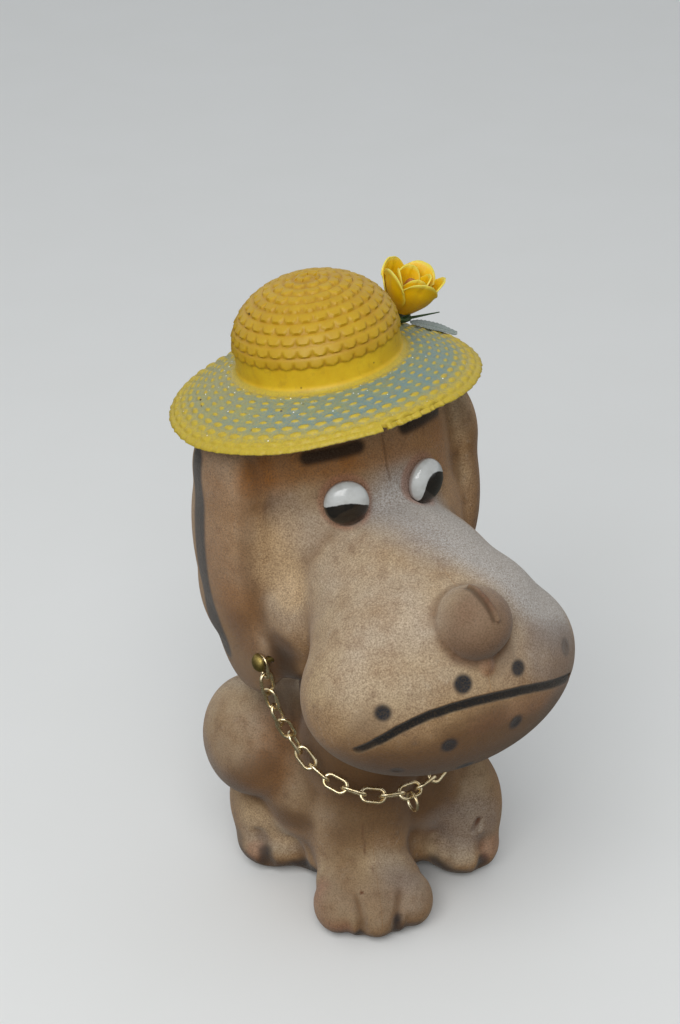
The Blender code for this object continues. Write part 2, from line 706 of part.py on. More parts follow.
def make_head(neck):
    """The head in two halves: hollow, with the neck spigot below, eye seats and holes for the studs."""
    ear = ear_lumps()
    lumps = skull_lumps() + nose_lumps() + ear + [mirrored(shape) for shape in ear]
    outer = skin_mesh("head_skin", lumps, 0.0, HEAD_SKIN_RATIO)
    inner = skin_mesh("head_cavity", [shape for shape in lumps if shape["hollow"]], WALL, CAVITY_RATIO)
    cavity = add_cutter("head_cavity", inner, neck)
    under_collar = NECK_FIT
    spigot_radius = NECK_HOLE_RADIUS - NECK_FIT
    flange_top = -NECK_RIM - NECK_FIT
    flange_bottom = flange_top - FLANGE_THICKNESS
    profile = [
        (0.0, COLLAR_HEIGHT),
        (COLLAR_RADIUS, COLLAR_HEIGHT),
        (COLLAR_RADIUS, under_collar),
        (spigot_radius, under_collar),
        (spigot_radius, flange_top),
        (FLANGE_RADIUS, flange_top),
        (FLANGE_RADIUS, flange_bottom),
        (0.0, flange_bottom),
    ]
    spigot = add_cutter("neck_spigot", turned_mesh("neck_spigot", profile, ROUND_STEPS), neck)
    bore_low = flange_bottom - CUT_PAST
    bore_top = COLLAR_HEIGHT + BORE_REACH
    bore_mesh = rod_mesh("spigot_bore", SPIGOT_BORE, bore_low, bore_top, ROUND_STEPS)
    bore = add_cutter("spigot_bore", bore_mesh, neck)
    seam = SEAM_GAP / 2
    other_side_mesh = box_mesh("head_other_side", (-FAR, -FAR, -FAR), (seam, FAR, FAR))
    other_side = add_cutter("head_other_side", other_side_mesh, neck)
    seat_mesh = rod_mesh("eye_seat", EYE_RADIUS + EYE_FIT, -EYE_FIT, EYE_SEAT_REACH)
    eye_seat = add_cutter("eye_seat", seat_mesh, neck)
    eye_seat.matrix_local = eye_matrix(1.0)
    socket_bottom = -EYE_SHANK_LENGTH - EYE_FIT
    socket_mesh = rod_mesh("eye_socket", EYE_SHANK_RADIUS + EYE_FIT, socket_bottom, SOCKET_REACH)
    eye_socket = add_cutter("eye_socket", socket_mesh, neck)
    eye_socket.matrix_local = eye_matrix(1.0)
    hole_bottom = -STUD_SHANK_DEPTH - STUD_FIT
    hole_mesh = rod_mesh("stud_hole", STUD_SHANK_RADIUS + STUD_FIT, hole_bottom, STUD_HOLE_REACH, TINY_STEPS)
    stud_hole = add_cutter("stud_hole", hole_mesh, neck)
    stud_hole.matrix_local = stud_matrix(1.0)
    left = add_part("head_left_half", outer.copy(), (0.50, 0.39, 0.27), 0.95, parent=neck)
    cut(left, cavity)
    cut(left, spigot, "UNION")
    for cutter in (bore, other_side, eye_seat, eye_socket, stud_hole):
        cut(left, cutter)
    right_mesh = evaluated_mesh(left)
    right_mesh.transform(Matrix.Diagonal((-1.0, 1.0, 1.0, 1.0)))
    right_mesh.flip_normals()
    add_part("head_right_half", right_mesh, (0.50, 0.39, 0.27), 0.95, parent=neck)
    return outer


def make_eyes(neck):
    """Two white domes with painted lower parts, each on a shank in its socket."""
    profile = []
    for step in range(EYE_STEPS + 1):
        angle = math.radians(90.0) * step / EYE_STEPS
        profile.append((EYE_RADIUS * math.sin(angle), EYE_EDGE + (EYE_DOME - EYE_EDGE) * math.cos(angle)))
    profile[0] = (0.0, EYE_DOME)
    profile += [
        (EYE_RADIUS, 0.0),
        (EYE_SHANK_RADIUS, 0.0),
        (EYE_SHANK_RADIUS, -EYE_SHANK_LENGTH),
        (0.0, -EYE_SHANK_LENGTH),
    ]
    for label, side in (("right", -1.0), ("left", 1.0)):
        mesh = turned_mesh(label + "_eye", profile, SMALL_STEPS)
        shade_round(mesh)
        eye = add_part(label + "_eye", mesh, (0.85, 0.86, 0.84), 0.15, parent=neck)
        eye.matrix_local = eye_matrix(side)


def stud_matrix(side):
    """A stud's axis: level and along X, with local +Z pointing out of the ear at the chain's plane."""
    place = Matrix.Translation((side * CHAIN_PLANE_X, STUD_Y, STUD_Z))
    return place @ Matrix.Rotation(side * math.radians(90.0), 4, "Y")


def make_studs(neck):
    """Two brass nails with domed heads that hold the chain's end links against the ears."""
    under_head = WIRE / 2 + LINK_GAP
    dome_foot = under_head + STUD_HEAD_EDGE
    profile = []
    for step in range(STUD_STEPS + 1):
        angle = math.radians(90.0) * step / STUD_STEPS
        profile.append((STUD_HEAD_RADIUS * math.sin(angle), dome_foot + STUD_HEAD_HEIGHT * math.cos(angle)))
    profile += [
        (STUD_HEAD_RADIUS, under_head),
        (STUD_SHANK_RADIUS, under_head),
        (STUD_SHANK_RADIUS, -STUD_SHANK_DEPTH),
        (0.0, -STUD_SHANK_DEPTH),
    ]
    for label, side in (("right", -1.0), ("left", 1.0)):
        mesh = turned_mesh(label + "_ear_stud", profile, TINY_STEPS)
        shade_round(mesh)
        stud = add_part(label + "_ear_stud", mesh, (0.42, 0.34, 0.18), 0.45, 0.9, neck)
        stud.matrix_local = stud_matrix(side)


def chain_point(share, drop):
    """A point of the right half of the chain's route, from the stud (0) to the front (1)."""
    last = len(CHAIN_ROUTE) - 1
    place = share * last
    index = min(int(place), last - 1)
    t = place - index
    rows = []
    for offset in (-1, 0, 1, 2):
        row = index + offset
        if row > last:
            angle, extra, fall = CHAIN_ROUTE[2 * last - row]
            rows.append((-angle, extra, fall))
        else:
            rows.append(CHAIN_ROUTE[max(row, 0)])
    values = []
    for axis in range(3):
        a, b, c, d = (row[axis] for row in rows)
        bend = 2 * a - 5 * b + 4 * c - d
        twist = 3 * b - a - 3 * c + d
        values.append(0.5 * (2 * b + (c - a) * t + bend * t * t + twist * t ** 3))
    angle = math.radians(values[0])
    radius = CHAIN_RADIUS + values[1]
    return Vector((-radius * math.sin(angle), -radius * math.cos(angle), STUD_Z - drop * values[2]))


def link_joints(drop):
    """The points where the links meet, walked down the route in equal steps, and the middle link's place."""
    pitch = LINK_LENGTH - 2 * WIRE - LINK_GAP
    shank_offset = STUD_SHANK_RADIUS + LINK_GAP / 2
    start = Vector((-CHAIN_PLANE_X, STUD_Y, STUD_Z + shank_offset))
    fine = [chain_point(step / ROUTE_STEPS, drop) for step in range(ROUTE_STEPS + 1)]
    fine[0] = start
    mirror = [Vector((-point.x, point.y, point.z)) for point in reversed(fine[:-1])]
    path = fine + mirror
    joints = [start]
    index = 1
    for _ in range(LINKS_PER_SIDE + 1):
        here = joints[-1]
        while index < len(path) - 1 and (path[index] - here).length < pitch:
            index += 1
        before = path[index - 1]
        after = path[index]
        low, high = 0.0, 1.0
        for _ in range(30):
            middle = (low + high) / 2
            if (before.lerp(after, middle) - here).length < pitch:
                low = middle
            else:
                high = middle
        joints.append(before.lerp(after, high))
    return joints, (joints[-1].x + joints[-2].x) / 2


def chain_drop():
    """The drop at which the links' own length just fills the route."""
    low, high = SHORTEST_DROP, LONGEST_DROP
    for _ in range(40):
        middle = (low + high) / 2
        if link_joints(middle)[1] > 0.0:
            low = middle
        else:
            high = middle
    return (low + high) / 2


def oval_mesh(name, half_straight, end_radius, wire_radius):
    """An oval wire link along X in the XY plane, as a bevelled closed curve made into a mesh."""
    end_points = 5
    points = []
    for end in (0, 1):
        for step in range(end_points):
            angle = math.radians(-90.0 + 180.0 * step / (end_points - 1) + 180.0 * end)
            shift = half_straight if end == 0 else -half_straight
            points.append((shift + end_radius * math.cos(angle), end_radius * math.sin(angle), 0.0))
    curve = bpy.data.curves.new(name, "CURVE")
    curve.dimensions = "3D"
    curve.bevel_depth = wire_radius
    curve.bevel_resolution = 1
    spline = curve.splines.new("POLY")
    spline.points.add(len(points) - 1)
    for point, place in zip(spline.points, points):
        point.co = (*place, 1.0)
    spline.use_cyclic_u = True
    holder = bpy.data.objects.new(name, curve)
    PARTS.objects.link(holder)
    mesh = evaluated_mesh(holder)
    bpy.data.objects.remove(holder, do_unlink=True)
    bm = bmesh.new()
    bm.from_mesh(mesh)
    bmesh.ops.remove_doubles(bm, verts=bm.verts, dist=MERGE)
    return mesh_from(bm, name)


def link_matrix(start, end, lean):
    """A link between two joints of the chain, leaned about its length from lying flat round the neck."""
    along = (end - start).normalized()
    middle = (start + end) / 2
    outward = Vector((middle.x, middle.y, 0.0))
    outward = (outward - along * outward.dot(along)).normalized()
    across = outward.cross(along)
    turned_out = outward * math.cos(lean) + across * math.sin(lean)
    side = turned_out.cross(along)
    matrix = Matrix((along, side, turned_out)).transposed().to_4x4()
    matrix.translation = middle
    return matrix


def make_chain(neck):
    """The collar chain from stud to stud, on an empty at the studs' axis, and the ring on its middle link."""
    swing = add_empty("chain_axis", (0.0, STUD_Y, STUD_Z), parent=neck)
    to_swing = Matrix.Translation((0.0, -STUD_Y, -STUD_Z))
    end_radius = (LINK_WIDTH - WIRE) / 2
    half_straight = (LINK_LENGTH - LINK_WIDTH) / 2
    mesh = oval_mesh("chain_link", half_straight, end_radius, WIRE / 2)
    mesh.shade_smooth()
    joints, _ = link_joints(chain_drop())
    count = 2 * LINKS_PER_SIDE + 1
    middle_matrix = None
    for index in range(count):
        mirror = index > LINKS_PER_SIDE
        place = count - 1 - index if mirror else index
        share = place / LINKS_PER_SIDE
        lean = LINK_LEAN * min(1.0, share / LEAN_IN_BY)
        if place % 2 == 1:
            lean += math.radians(90.0)
        matrix = link_matrix(joints[place], joints[place + 1], lean)
        if mirror:
            flip = Matrix.Diagonal((-1.0, 1.0, 1.0, 1.0))
            matrix = flip @ matrix @ flip
        link = add_part("chain_link_%02d" % (index + 1), mesh.copy(), (0.75, 0.62, 0.36), 0.3, 1.0, swing)
        link.matrix_local = to_swing @ matrix
        if index == LINKS_PER_SIDE:
            middle_matrix = matrix
    lower_wire = middle_matrix @ Vector((0.0, end_radius, 0.0))
    other_wire = middle_matrix @ Vector((0.0, -end_radius, 0.0))
    if other_wire.z < lower_wire.z:
        lower_wire = other_wire
    ring_axis = add_empty("ring_axis", to_swing @ lower_wire, parent=swing)
    ring_mesh = oval_mesh("jump_ring", 0.0, RING_RADIUS, RING_WIRE / 2)
    ring_mesh.shade_smooth()
    ring = add_part("jump_ring", ring_mesh, (0.75, 0.62, 0.36), 0.3, 1.0, ring_axis)
    hang = RING_RADIUS - (WIRE + RING_WIRE) / 2 - LINK_GAP
    ring.matrix_local = Matrix.Translation((0.0, 0.0, -hang)) @ Matrix.Rotation(math.radians(90.0), 4, "Y")


def crown_height(share, radius, top):
    """A dome over the band: its height where the angle from the top is this share of a right angle."""
    angle = math.radians(90.0) * share
    return (radius * math.sin(angle), CROWN_BAND + (top - CROWN_BAND) * math.cos(angle))


def brim_height(radius):
    """How high the brim's upper side is at a distance from the hat's axis, before it is lifted in front."""
    share = (radius - CROWN_RADIUS) / (BRIM_RADIUS - CROWN_RADIUS)
    share = min(1.0, max(0.0, share))
    return -BRIM_DROP * ((1.0 - BRIM_CURL) * share + BRIM_CURL * share * share)


def brim_lift(place):
    """How far the brim is bent up at a place: nothing at the crown, most at one heading of the rim."""
    radius = math.hypot(place.x, place.y)
    share = min(1.0, max(0.0, (radius - CROWN_RADIUS) / (BRIM_RADIUS - CROWN_RADIUS)))
    facing = math.cos(math.atan2(place.y, place.x) - BRIM_LIFT_HEADING)
    return BRIM_LIFT * share * max(0.0, facing) ** 2


def hat_inner_height(place):
    """How high the hat's underside is at a place in the hat's own frame."""
    radius = math.hypot(place.x, place.y)
    inner = (CROWN_RADIUS - HAT_WALL) * math.cos(math.pi / HAT_STEPS)
    if radius < inner:
        return CROWN_BAND + (CROWN_HEIGHT - CROWN_BAND - HAT_WALL) * math.sqrt(1.0 - (radius / inner) ** 2)
    return brim_height(radius) + brim_lift(place) - HAT_WALL


def hat_turn():
    """The hat's slant: tipped back, and rolled down to the dog's right."""
    return Matrix.Rotation(-HAT_TIP_BACK, 4, "X") @ Matrix.Rotation(-HAT_ROLL, 4, "Y")


def seated_hat_height(head_skin):
    """The height at which the hat comes to rest on the head's skin, tried along the skin's edges."""
    turn_back = hat_turn().to_3x3().inverted()
    points = []
    for edge in head_skin.edges:
        start, end = (head_skin.vertices[index].co for index in edge.vertices)
        if min(start.z, end.z) > FACE_Z:
            points += [start.lerp(end, step / EDGE_STEPS) for step in range(EDGE_STEPS)]
    height = CRANIUM_Z
    for _ in range(8):
        origin = Vector((HAT_X, HAT_Y, height))
        rise = -FAR
        for point in points:
            local = turn_back @ (point - origin)
            if math.hypot(local.x, local.y) < BRIM_RADIUS:
                rise = max(rise, local.z - hat_inner_height(local))
        height += rise + SEAT_GAP + FACET_SAG
    return height


def hat_profile():
    """Half the hat's section, from the crown's top down its outer side, round the rim and back up inside."""
    inner = CROWN_RADIUS - HAT_WALL
    dome_steps = 7
    points = [crown_height(step / dome_steps, CROWN_RADIUS, CROWN_HEIGHT) for step in range(dome_steps + 1)]
    points.append((CROWN_RADIUS, BRIM_FILLET))
    brim_steps = 4
    for step in range(brim_steps + 1):
        radius = CROWN_RADIUS + BRIM_FILLET + (BRIM_RADIUS - CROWN_RADIUS - BRIM_FILLET) * step / brim_steps
        points.append((radius, brim_height(radius)))
    for step in range(brim_steps, 0, -1):
        radius = CROWN_RADIUS + (BRIM_RADIUS - CROWN_RADIUS) * step / brim_steps
        points.append((radius, brim_height(radius) - HAT_WALL))
    points.append((inner, -HAT_WALL / 2))
    for step in range(dome_steps, -1, -1):
        points.append(crown_height(step / dome_steps, inner, CROWN_HEIGHT - HAT_WALL))
    return points


def make_hat(neck, head_skin):
    """The sun hat: one thin moulding, with a domed crown over a band and a drooping brim nicked in front."""
    holder = add_empty("hat_frame", (HAT_X, HAT_Y, seated_hat_height(head_skin)), parent=neck)
    holder.matrix_local = Matrix.Translation(holder.location) @ hat_turn()
    mesh = turned_mesh("sun_hat", hat_profile(), HAT_STEPS)
    for vertex in mesh.vertices:
        vertex.co.z += brim_lift(vertex.co)
    shade_round(mesh, 60.0)
    hat = add_part("sun_hat", mesh, (0.80, 0.62, 0.08), 0.4, parent=holder)
    hole_mesh = rod_mesh("stem_hole", STEM_RADIUS + STEM_FIT, -STEM_DEPTH * 2, STEM_DEPTH, TINY_STEPS)
    stem_hole = add_cutter("stem_hole", hole_mesh, holder)
    stem_hole.matrix_local = flower_matrix()
    cut(hat, stem_hole)
    low = (BRIM_RADIUS - NOTCH_DEPTH, -NOTCH_WIDTH / 2, -BRIM_DROP * 2)
    high = (BRIM_RADIUS * 2, NOTCH_WIDTH / 2, BRIM_DROP)
    notch = add_cutter("brim_notch", box_mesh("brim_notch", low, high), holder)
    notch.matrix_local = Matrix.Rotation(NOTCH_HEADING, 4, "Z")
    cut(hat, notch)
    return holder


def flower_foot():
    """Where the flower's stem goes through the brim."""
    reach = BRIM_RADIUS - FLOWER_INSET
    flat = Vector((math.cos(FLOWER_HEADING), math.sin(FLOWER_HEADING), 0.0)) * reach
    return flat + Vector((0.0, 0.0, brim_height(reach) + brim_lift(flat)))


def flower_matrix():
    """The flower's own frame: at its foot on the brim, leaning away from the crown."""
    heading = Matrix.Rotation(FLOWER_LEAN_HEADING, 4, "Z")
    lean = Matrix.Rotation(FLOWER_LEAN, 4, "Y")
    return Matrix.Translation(flower_foot()) @ heading @ lean


def petal_cup(name, petals, base_radius, rim_radius, length, dip, flare, turn):
    """A whorl of petals joined at the foot: a cup lofted ring by ring, whose rim rises at each petal."""
    rings = 5
    segments = petals * 6
    bm = bmesh.new()
    centre = bm.verts.new((0.0, 0.0, 0.0))
    rows = []
    for ring in range(rings + 1):
        share = ring / rings
        row = []
        for step in range(segments):
            angle = 2.0 * math.pi * step / segments
            lobe = abs(math.cos(petals * angle / 2.0)) ** 0.7
            rise = share * (1.0 - dip * (1.0 - lobe) * share)
            swell = math.sin(math.radians(90.0) * min(1.0, 0.25 + rise * 1.1))
            radius = base_radius + (rim_radius - base_radius) * swell * (0.35 + 0.65 * share)
            radius += flare * share ** 3 * lobe
            if ring == 0:
                radius = base_radius
            spin = angle + turn
            row.append(bm.verts.new((radius * math.cos(spin), radius * math.sin(spin), length * rise)))
        rows.append(row)
    for step in range(segments):
        after = (step + 1) % segments
        bm.faces.new((centre, rows[0][after], rows[0][step]))
        for low, high in zip(rows, rows[1:]):
            bm.faces.new((low[step], low[after], high[after], high[step]))
    return mesh_from(bm, name)


def make_petals(frame):
    """Two cups of petals, one in the other, and the bud in the middle."""
    cup_foot = CALYX_STAND + CALYX_HEIGHT + SEAT_GAP + PETAL_WALL
    outer = petal_cup(
        "outer_petals", OUTER_PETALS, OUTER_CUP_FOOT, OUTER_CUP_RADIUS, OUTER_CUP_LENGTH,
        OUTER_CUP_DIP, OUTER_CUP_FLARE, 0.0,
    )
    inner = petal_cup(
        "inner_petals", INNER_PETALS, INNER_CUP_FOOT, INNER_CUP_RADIUS, INNER_CUP_LENGTH,
        INNER_CUP_DIP, INNER_CUP_FLARE, INNER_CUP_TURN,
    )
    cups = (("outer_petals", outer, cup_foot), ("inner_petals", inner, cup_foot + INNER_CUP_LIFT))
    for name, mesh, foot in cups:
        mesh.shade_smooth()
        cup = add_part(name, mesh, (0.78, 0.56, 0.05), 0.45, parent=frame)
        cup.location = (0.0, 0.0, foot)
        solidify = cup.modifiers.new("Solidify", "SOLIDIFY")
        solidify.thickness = PETAL_WALL
        solidify.offset = 1.0
        solidify.use_even_offset = False
    bud_foot = cup_foot + INNER_CUP_LIFT + SEAT_GAP
    bud = [
        (0.0, bud_foot + BUD_LENGTH),
        (BUD_RADIUS * 0.6, bud_foot + BUD_LENGTH * 0.93),
        (BUD_RADIUS, bud_foot + BUD_LENGTH * 0.66),
        (BUD_RADIUS, bud_foot + BUD_LENGTH * 0.33),
        (BUD_RADIUS * 0.54, bud_foot),
        (0.0, bud_foot),
    ]
    mesh = turned_mesh("flower_bud", bud, TINY_STEPS)
    mesh.shade_smooth()
    add_part("flower_bud", mesh, (0.62, 0.33, 0.07), 0.6, parent=frame)


def make_calyx(frame):
    """The calyx under the petals, with the stem that goes through the brim and one thin pointed sepal."""
    profile = [
        (0.0, CALYX_STAND + CALYX_HEIGHT),
        (CALYX_TOP_RADIUS, CALYX_STAND + CALYX_HEIGHT),
        (CALYX_FOOT_RADIUS, CALYX_STAND),
        (STEM_RADIUS, CALYX_STAND),
        (STEM_RADIUS, -STEM_DEPTH),
        (0.0, -STEM_DEPTH),
    ]
    mesh = turned_mesh("calyx", profile, TINY_STEPS)
    calyx = add_part("calyx", mesh, (0.05, 0.13, 0.05), 0.5, parent=frame)
    bm = bmesh.new()
    middle = Matrix.Translation((0.0, 0.0, SPIKE_LENGTH / 2))
    bmesh.ops.create_cone(
        bm, cap_ends=True, segments=6, radius1=SPIKE_RADIUS, radius2=SPIKE_RADIUS / 2, depth=SPIKE_LENGTH,
        matrix=middle,
    )
    spike = add_cutter("calyx_spike", mesh_from(bm, "calyx_spike"), frame)
    lie_down = Matrix.Rotation(math.radians(90.0) - SPIKE_RISE, 4, "Y")
    root = Matrix.Translation((CALYX_FOOT_RADIUS, 0.0, CALYX_STAND + CALYX_HEIGHT / 2))
    spike.matrix_local = root @ lie_down
    cut(calyx, spike, "UNION")


def make_leaf(holder):
    """A thin leaf that lies on the brim and follows its fall, from beside the calyx to the rim."""
    along = Vector((math.cos(LEAF_HEADING), math.sin(LEAF_HEADING), 0.0))
    across = Vector((-along.y, along.x, 0.0))
    foot = flower_foot()
    rows = 8
    columns = 4
    bm = bmesh.new()
    lines = []
    for row in range(rows + 1):
        share = row / rows
        half = LEAF_WIDTH / 2 * max(LEAF_TIP_SHARE, math.sin(math.radians(180.0) * (0.06 + 0.90 * share)))
        line = []
        for column in range(columns + 1):
            side = 2.0 * column / columns - 1.0
            place = foot + along * (LEAF_START + LEAF_LENGTH * share) + across * half * side
            flat = Vector((place.x, place.y, 0.0))
            rest = brim_height(flat.length) + brim_lift(flat) + SEAT_GAP + FACET_SAG
            line.append(bm.verts.new((flat.x, flat.y, rest)))
        lines.append(line)
    for low, high in zip(lines, lines[1:]):
        for column in range(columns):
            bm.faces.new((low[column], high[column], high[column + 1], low[column + 1]))
    mesh = mesh_from(bm, "hat_leaf")
    if mesh.polygons[0].normal.z < 0.0:
        mesh.flip_normals()
    mesh.shade_smooth()
    leaf = add_part("hat_leaf", mesh, (0.16, 0.22, 0.17), 0.6, parent=holder)
    solidify = leaf.modifiers.new("Solidify", "SOLIDIFY")
    solidify.thickness = LEAF_THICKNESS
    solidify.offset = 1.0


def make_flower(holder):
    """The flower on the brim: petals, bud, calyx and leaf."""
    frame = add_empty("flower_frame", (0.0, 0.0, 0.0), parent=holder)
    frame.matrix_local = flower_matrix()
    make_petals(frame)
    make_calyx(frame)
    make_leaf(holder)


def main():
    """Builds every sub-part."""
    make_body()
    make_stopper()
    neck = add_empty("neck_axis", (0.0, NECK_Y, NECK_TOP), HEAD_TURN)
    head_skin = make_head(neck)
    make_eyes(neck)
    make_studs(neck)
    make_chain(neck)
    holder = make_hat(neck, head_skin)
    make_flower(holder)


main()
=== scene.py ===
# %% [markdown]
# # A flocked hound money box in a sun hat
# The real object is a hollow plastic dog, covered with very short fibres that are called flock.
# It has two domed eyes, a small chain from ear to ear, and a moulded hat with a flower.
# The CAD model fixes every place, size and joint. This lesson builds the looks around it,
# piece by piece, and each finished piece rides on the CAD body that carries it.

import math

import bpy
import numpy as np
from mathutils import Matrix, Vector
from mathutils.bvhtree import BVHTree
from mathutils.kdtree import KDTree


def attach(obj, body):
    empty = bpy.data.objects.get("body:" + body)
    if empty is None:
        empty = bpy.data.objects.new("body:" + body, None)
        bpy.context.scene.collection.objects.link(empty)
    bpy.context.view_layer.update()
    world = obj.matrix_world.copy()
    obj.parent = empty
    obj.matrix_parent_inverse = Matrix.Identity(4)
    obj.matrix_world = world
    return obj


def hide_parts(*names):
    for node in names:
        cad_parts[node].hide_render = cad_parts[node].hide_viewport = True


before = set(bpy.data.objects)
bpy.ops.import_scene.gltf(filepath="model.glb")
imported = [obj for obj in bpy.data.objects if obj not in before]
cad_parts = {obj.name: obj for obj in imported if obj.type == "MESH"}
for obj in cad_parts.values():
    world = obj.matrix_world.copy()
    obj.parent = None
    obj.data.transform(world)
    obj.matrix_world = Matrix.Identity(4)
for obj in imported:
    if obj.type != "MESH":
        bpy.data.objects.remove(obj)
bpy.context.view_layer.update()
MM = 0.001

# %% [markdown]
# ## The camera
# The photo was taken from a little to the dog's right, looking down about 30 degrees.
# A long lens keeps the hat and the paws in proportion. A lens given in pixels is turned into
# millimetres with the frame's longer side, because Blender fits its 36 mm sensor to that side.

# %% The photograph's camera
FRAME_LONG_SIDE = 1024
FOCAL_PIXELS = 2100
SENSOR = 36
CAMERA_PLACE = Vector((-0.09464, -0.60096, 0.51))
CAMERA_AZIMUTH = math.radians(-8)
CAMERA_DOWN = math.radians(30)


def added(name, data):
    """A new object in the scene."""
    item = bpy.data.objects.new(name, data)
    bpy.context.scene.collection.objects.link(item)
    return item


camera_data = bpy.data.cameras.new("photo_camera")
camera_data.sensor_width = SENSOR
camera_data.lens = FOCAL_PIXELS * SENSOR / FRAME_LONG_SIDE
camera = added("photo_camera", camera_data)
camera.location = CAMERA_PLACE
toward_camera = Vector((
    math.sin(CAMERA_AZIMUTH) * math.cos(CAMERA_DOWN),
    -math.cos(CAMERA_AZIMUTH) * math.cos(CAMERA_DOWN),
    math.sin(CAMERA_DOWN),
))
camera.rotation_euler = (-toward_camera).to_track_quat("-Z", "Y").to_euler()
bpy.context.scene.camera = camera
print("lens:", round(camera_data.lens, 2), "mm")

# %% [markdown]
# ## Working by hand, in code
# Blender's operators act on whatever is selected, so each step first deselects everything and then
# picks what it needs. Modifiers are applied as soon as they have done their work, and a finished
# piece keeps its place in its mesh, with its object at the origin.

# %% Helpers for selecting, applying and joining
def only(*chosen):
    """Selects these objects and nothing else; the last one is active."""
    if bpy.context.mode != "OBJECT":
        bpy.ops.object.mode_set(mode="OBJECT")
    bpy.ops.object.select_all(action="DESELECT")
    for item in chosen:
        item.select_set(True)
    bpy.context.view_layer.objects.active = chosen[-1]


def settle(*items):
    """Moves each object's place, turn and scale into its mesh."""
    only(*items)
    bpy.ops.object.transform_apply(location=True, rotation=True, scale=True)


def apply_modifiers(item):
    """Applies an object's modifiers from the top down."""
    only(item)
    for modifier in list(item.modifiers):
        bpy.ops.object.modifier_apply(modifier=modifier.name)
    return item


def joined(name, items):
    """One object from several."""
    only(*items)
    if len(items) > 1:
        bpy.ops.object.join()
    item = bpy.context.object
    item.name = name
    item.data.name = name
    return item


def copy_of(item, name):
    """A copy with a mesh of its own."""
    return added(name, item.data.copy())


def discard(*items):
    """Removes objects that were only helpers."""
    for item in items:
        bpy.data.objects.remove(item, do_unlink=True)


def edit_all(item):
    """Enters edit mode with everything selected."""
    only(item)
    bpy.ops.object.mode_set(mode="EDIT")
    bpy.ops.mesh.select_all(action="SELECT")


# %% Helpers for places, shading and finishes
def points_of(item):
    """All vertex places as one array."""
    places = np.empty(len(item.data.vertices) * 3)
    item.data.vertices.foreach_get("co", places)
    return places.reshape(-1, 3)


def normals_of(item):
    """The direction in which the skin faces at every vertex."""
    normals = np.empty(len(item.data.vertices) * 3)
    item.data.vertices.foreach_get("normal", normals)
    return normals.reshape(-1, 3)


def move_points(item, places):
    """Puts the vertices where the array says."""
    item.data.vertices.foreach_set("co", places.astype(np.float32).ravel())
    item.data.update()


def in_frame(places, matrix):
    """Places measured in another frame, such as the turned head's, in millimetres."""
    turned = np.array(matrix.inverted())
    return (places @ turned[:3, :3].T + turned[:3, 3]) / MM


def round_off(item, angle=40):
    """Smooth shading that keeps true edges."""
    only(item)
    bpy.ops.object.shade_smooth_by_angle(angle=math.radians(angle))


def smooth_step(value):
    """A soft change from 0 to 1."""
    value = np.clip(value, 0, 1)
    return value * value * (3 - 2 * value)


def coat(item, material):
    """One finish all over."""
    item.data.materials.clear()
    item.data.materials.append(material)
    item.data.polygons.foreach_set("material_index", [0] * len(item.data.polygons))


# %% [markdown]
# ## Colours and procedural materials
# Every finish is made of nodes that read Object coordinates or an attribute that is painted on the
# mesh in code. Colours are written as the eye sees them, from 0 to 255, and turned linear here.

# %% Helpers for colours and nodes
def colour(red, green, blue):
    """A linear colour from the values seen on a screen."""
    shares = (red / 255, green / 255, blue / 255)
    return tuple(((c + 0.055) / 1.055) ** 2.4 if c > 0.04045 else c / 12.92 for c in shares)


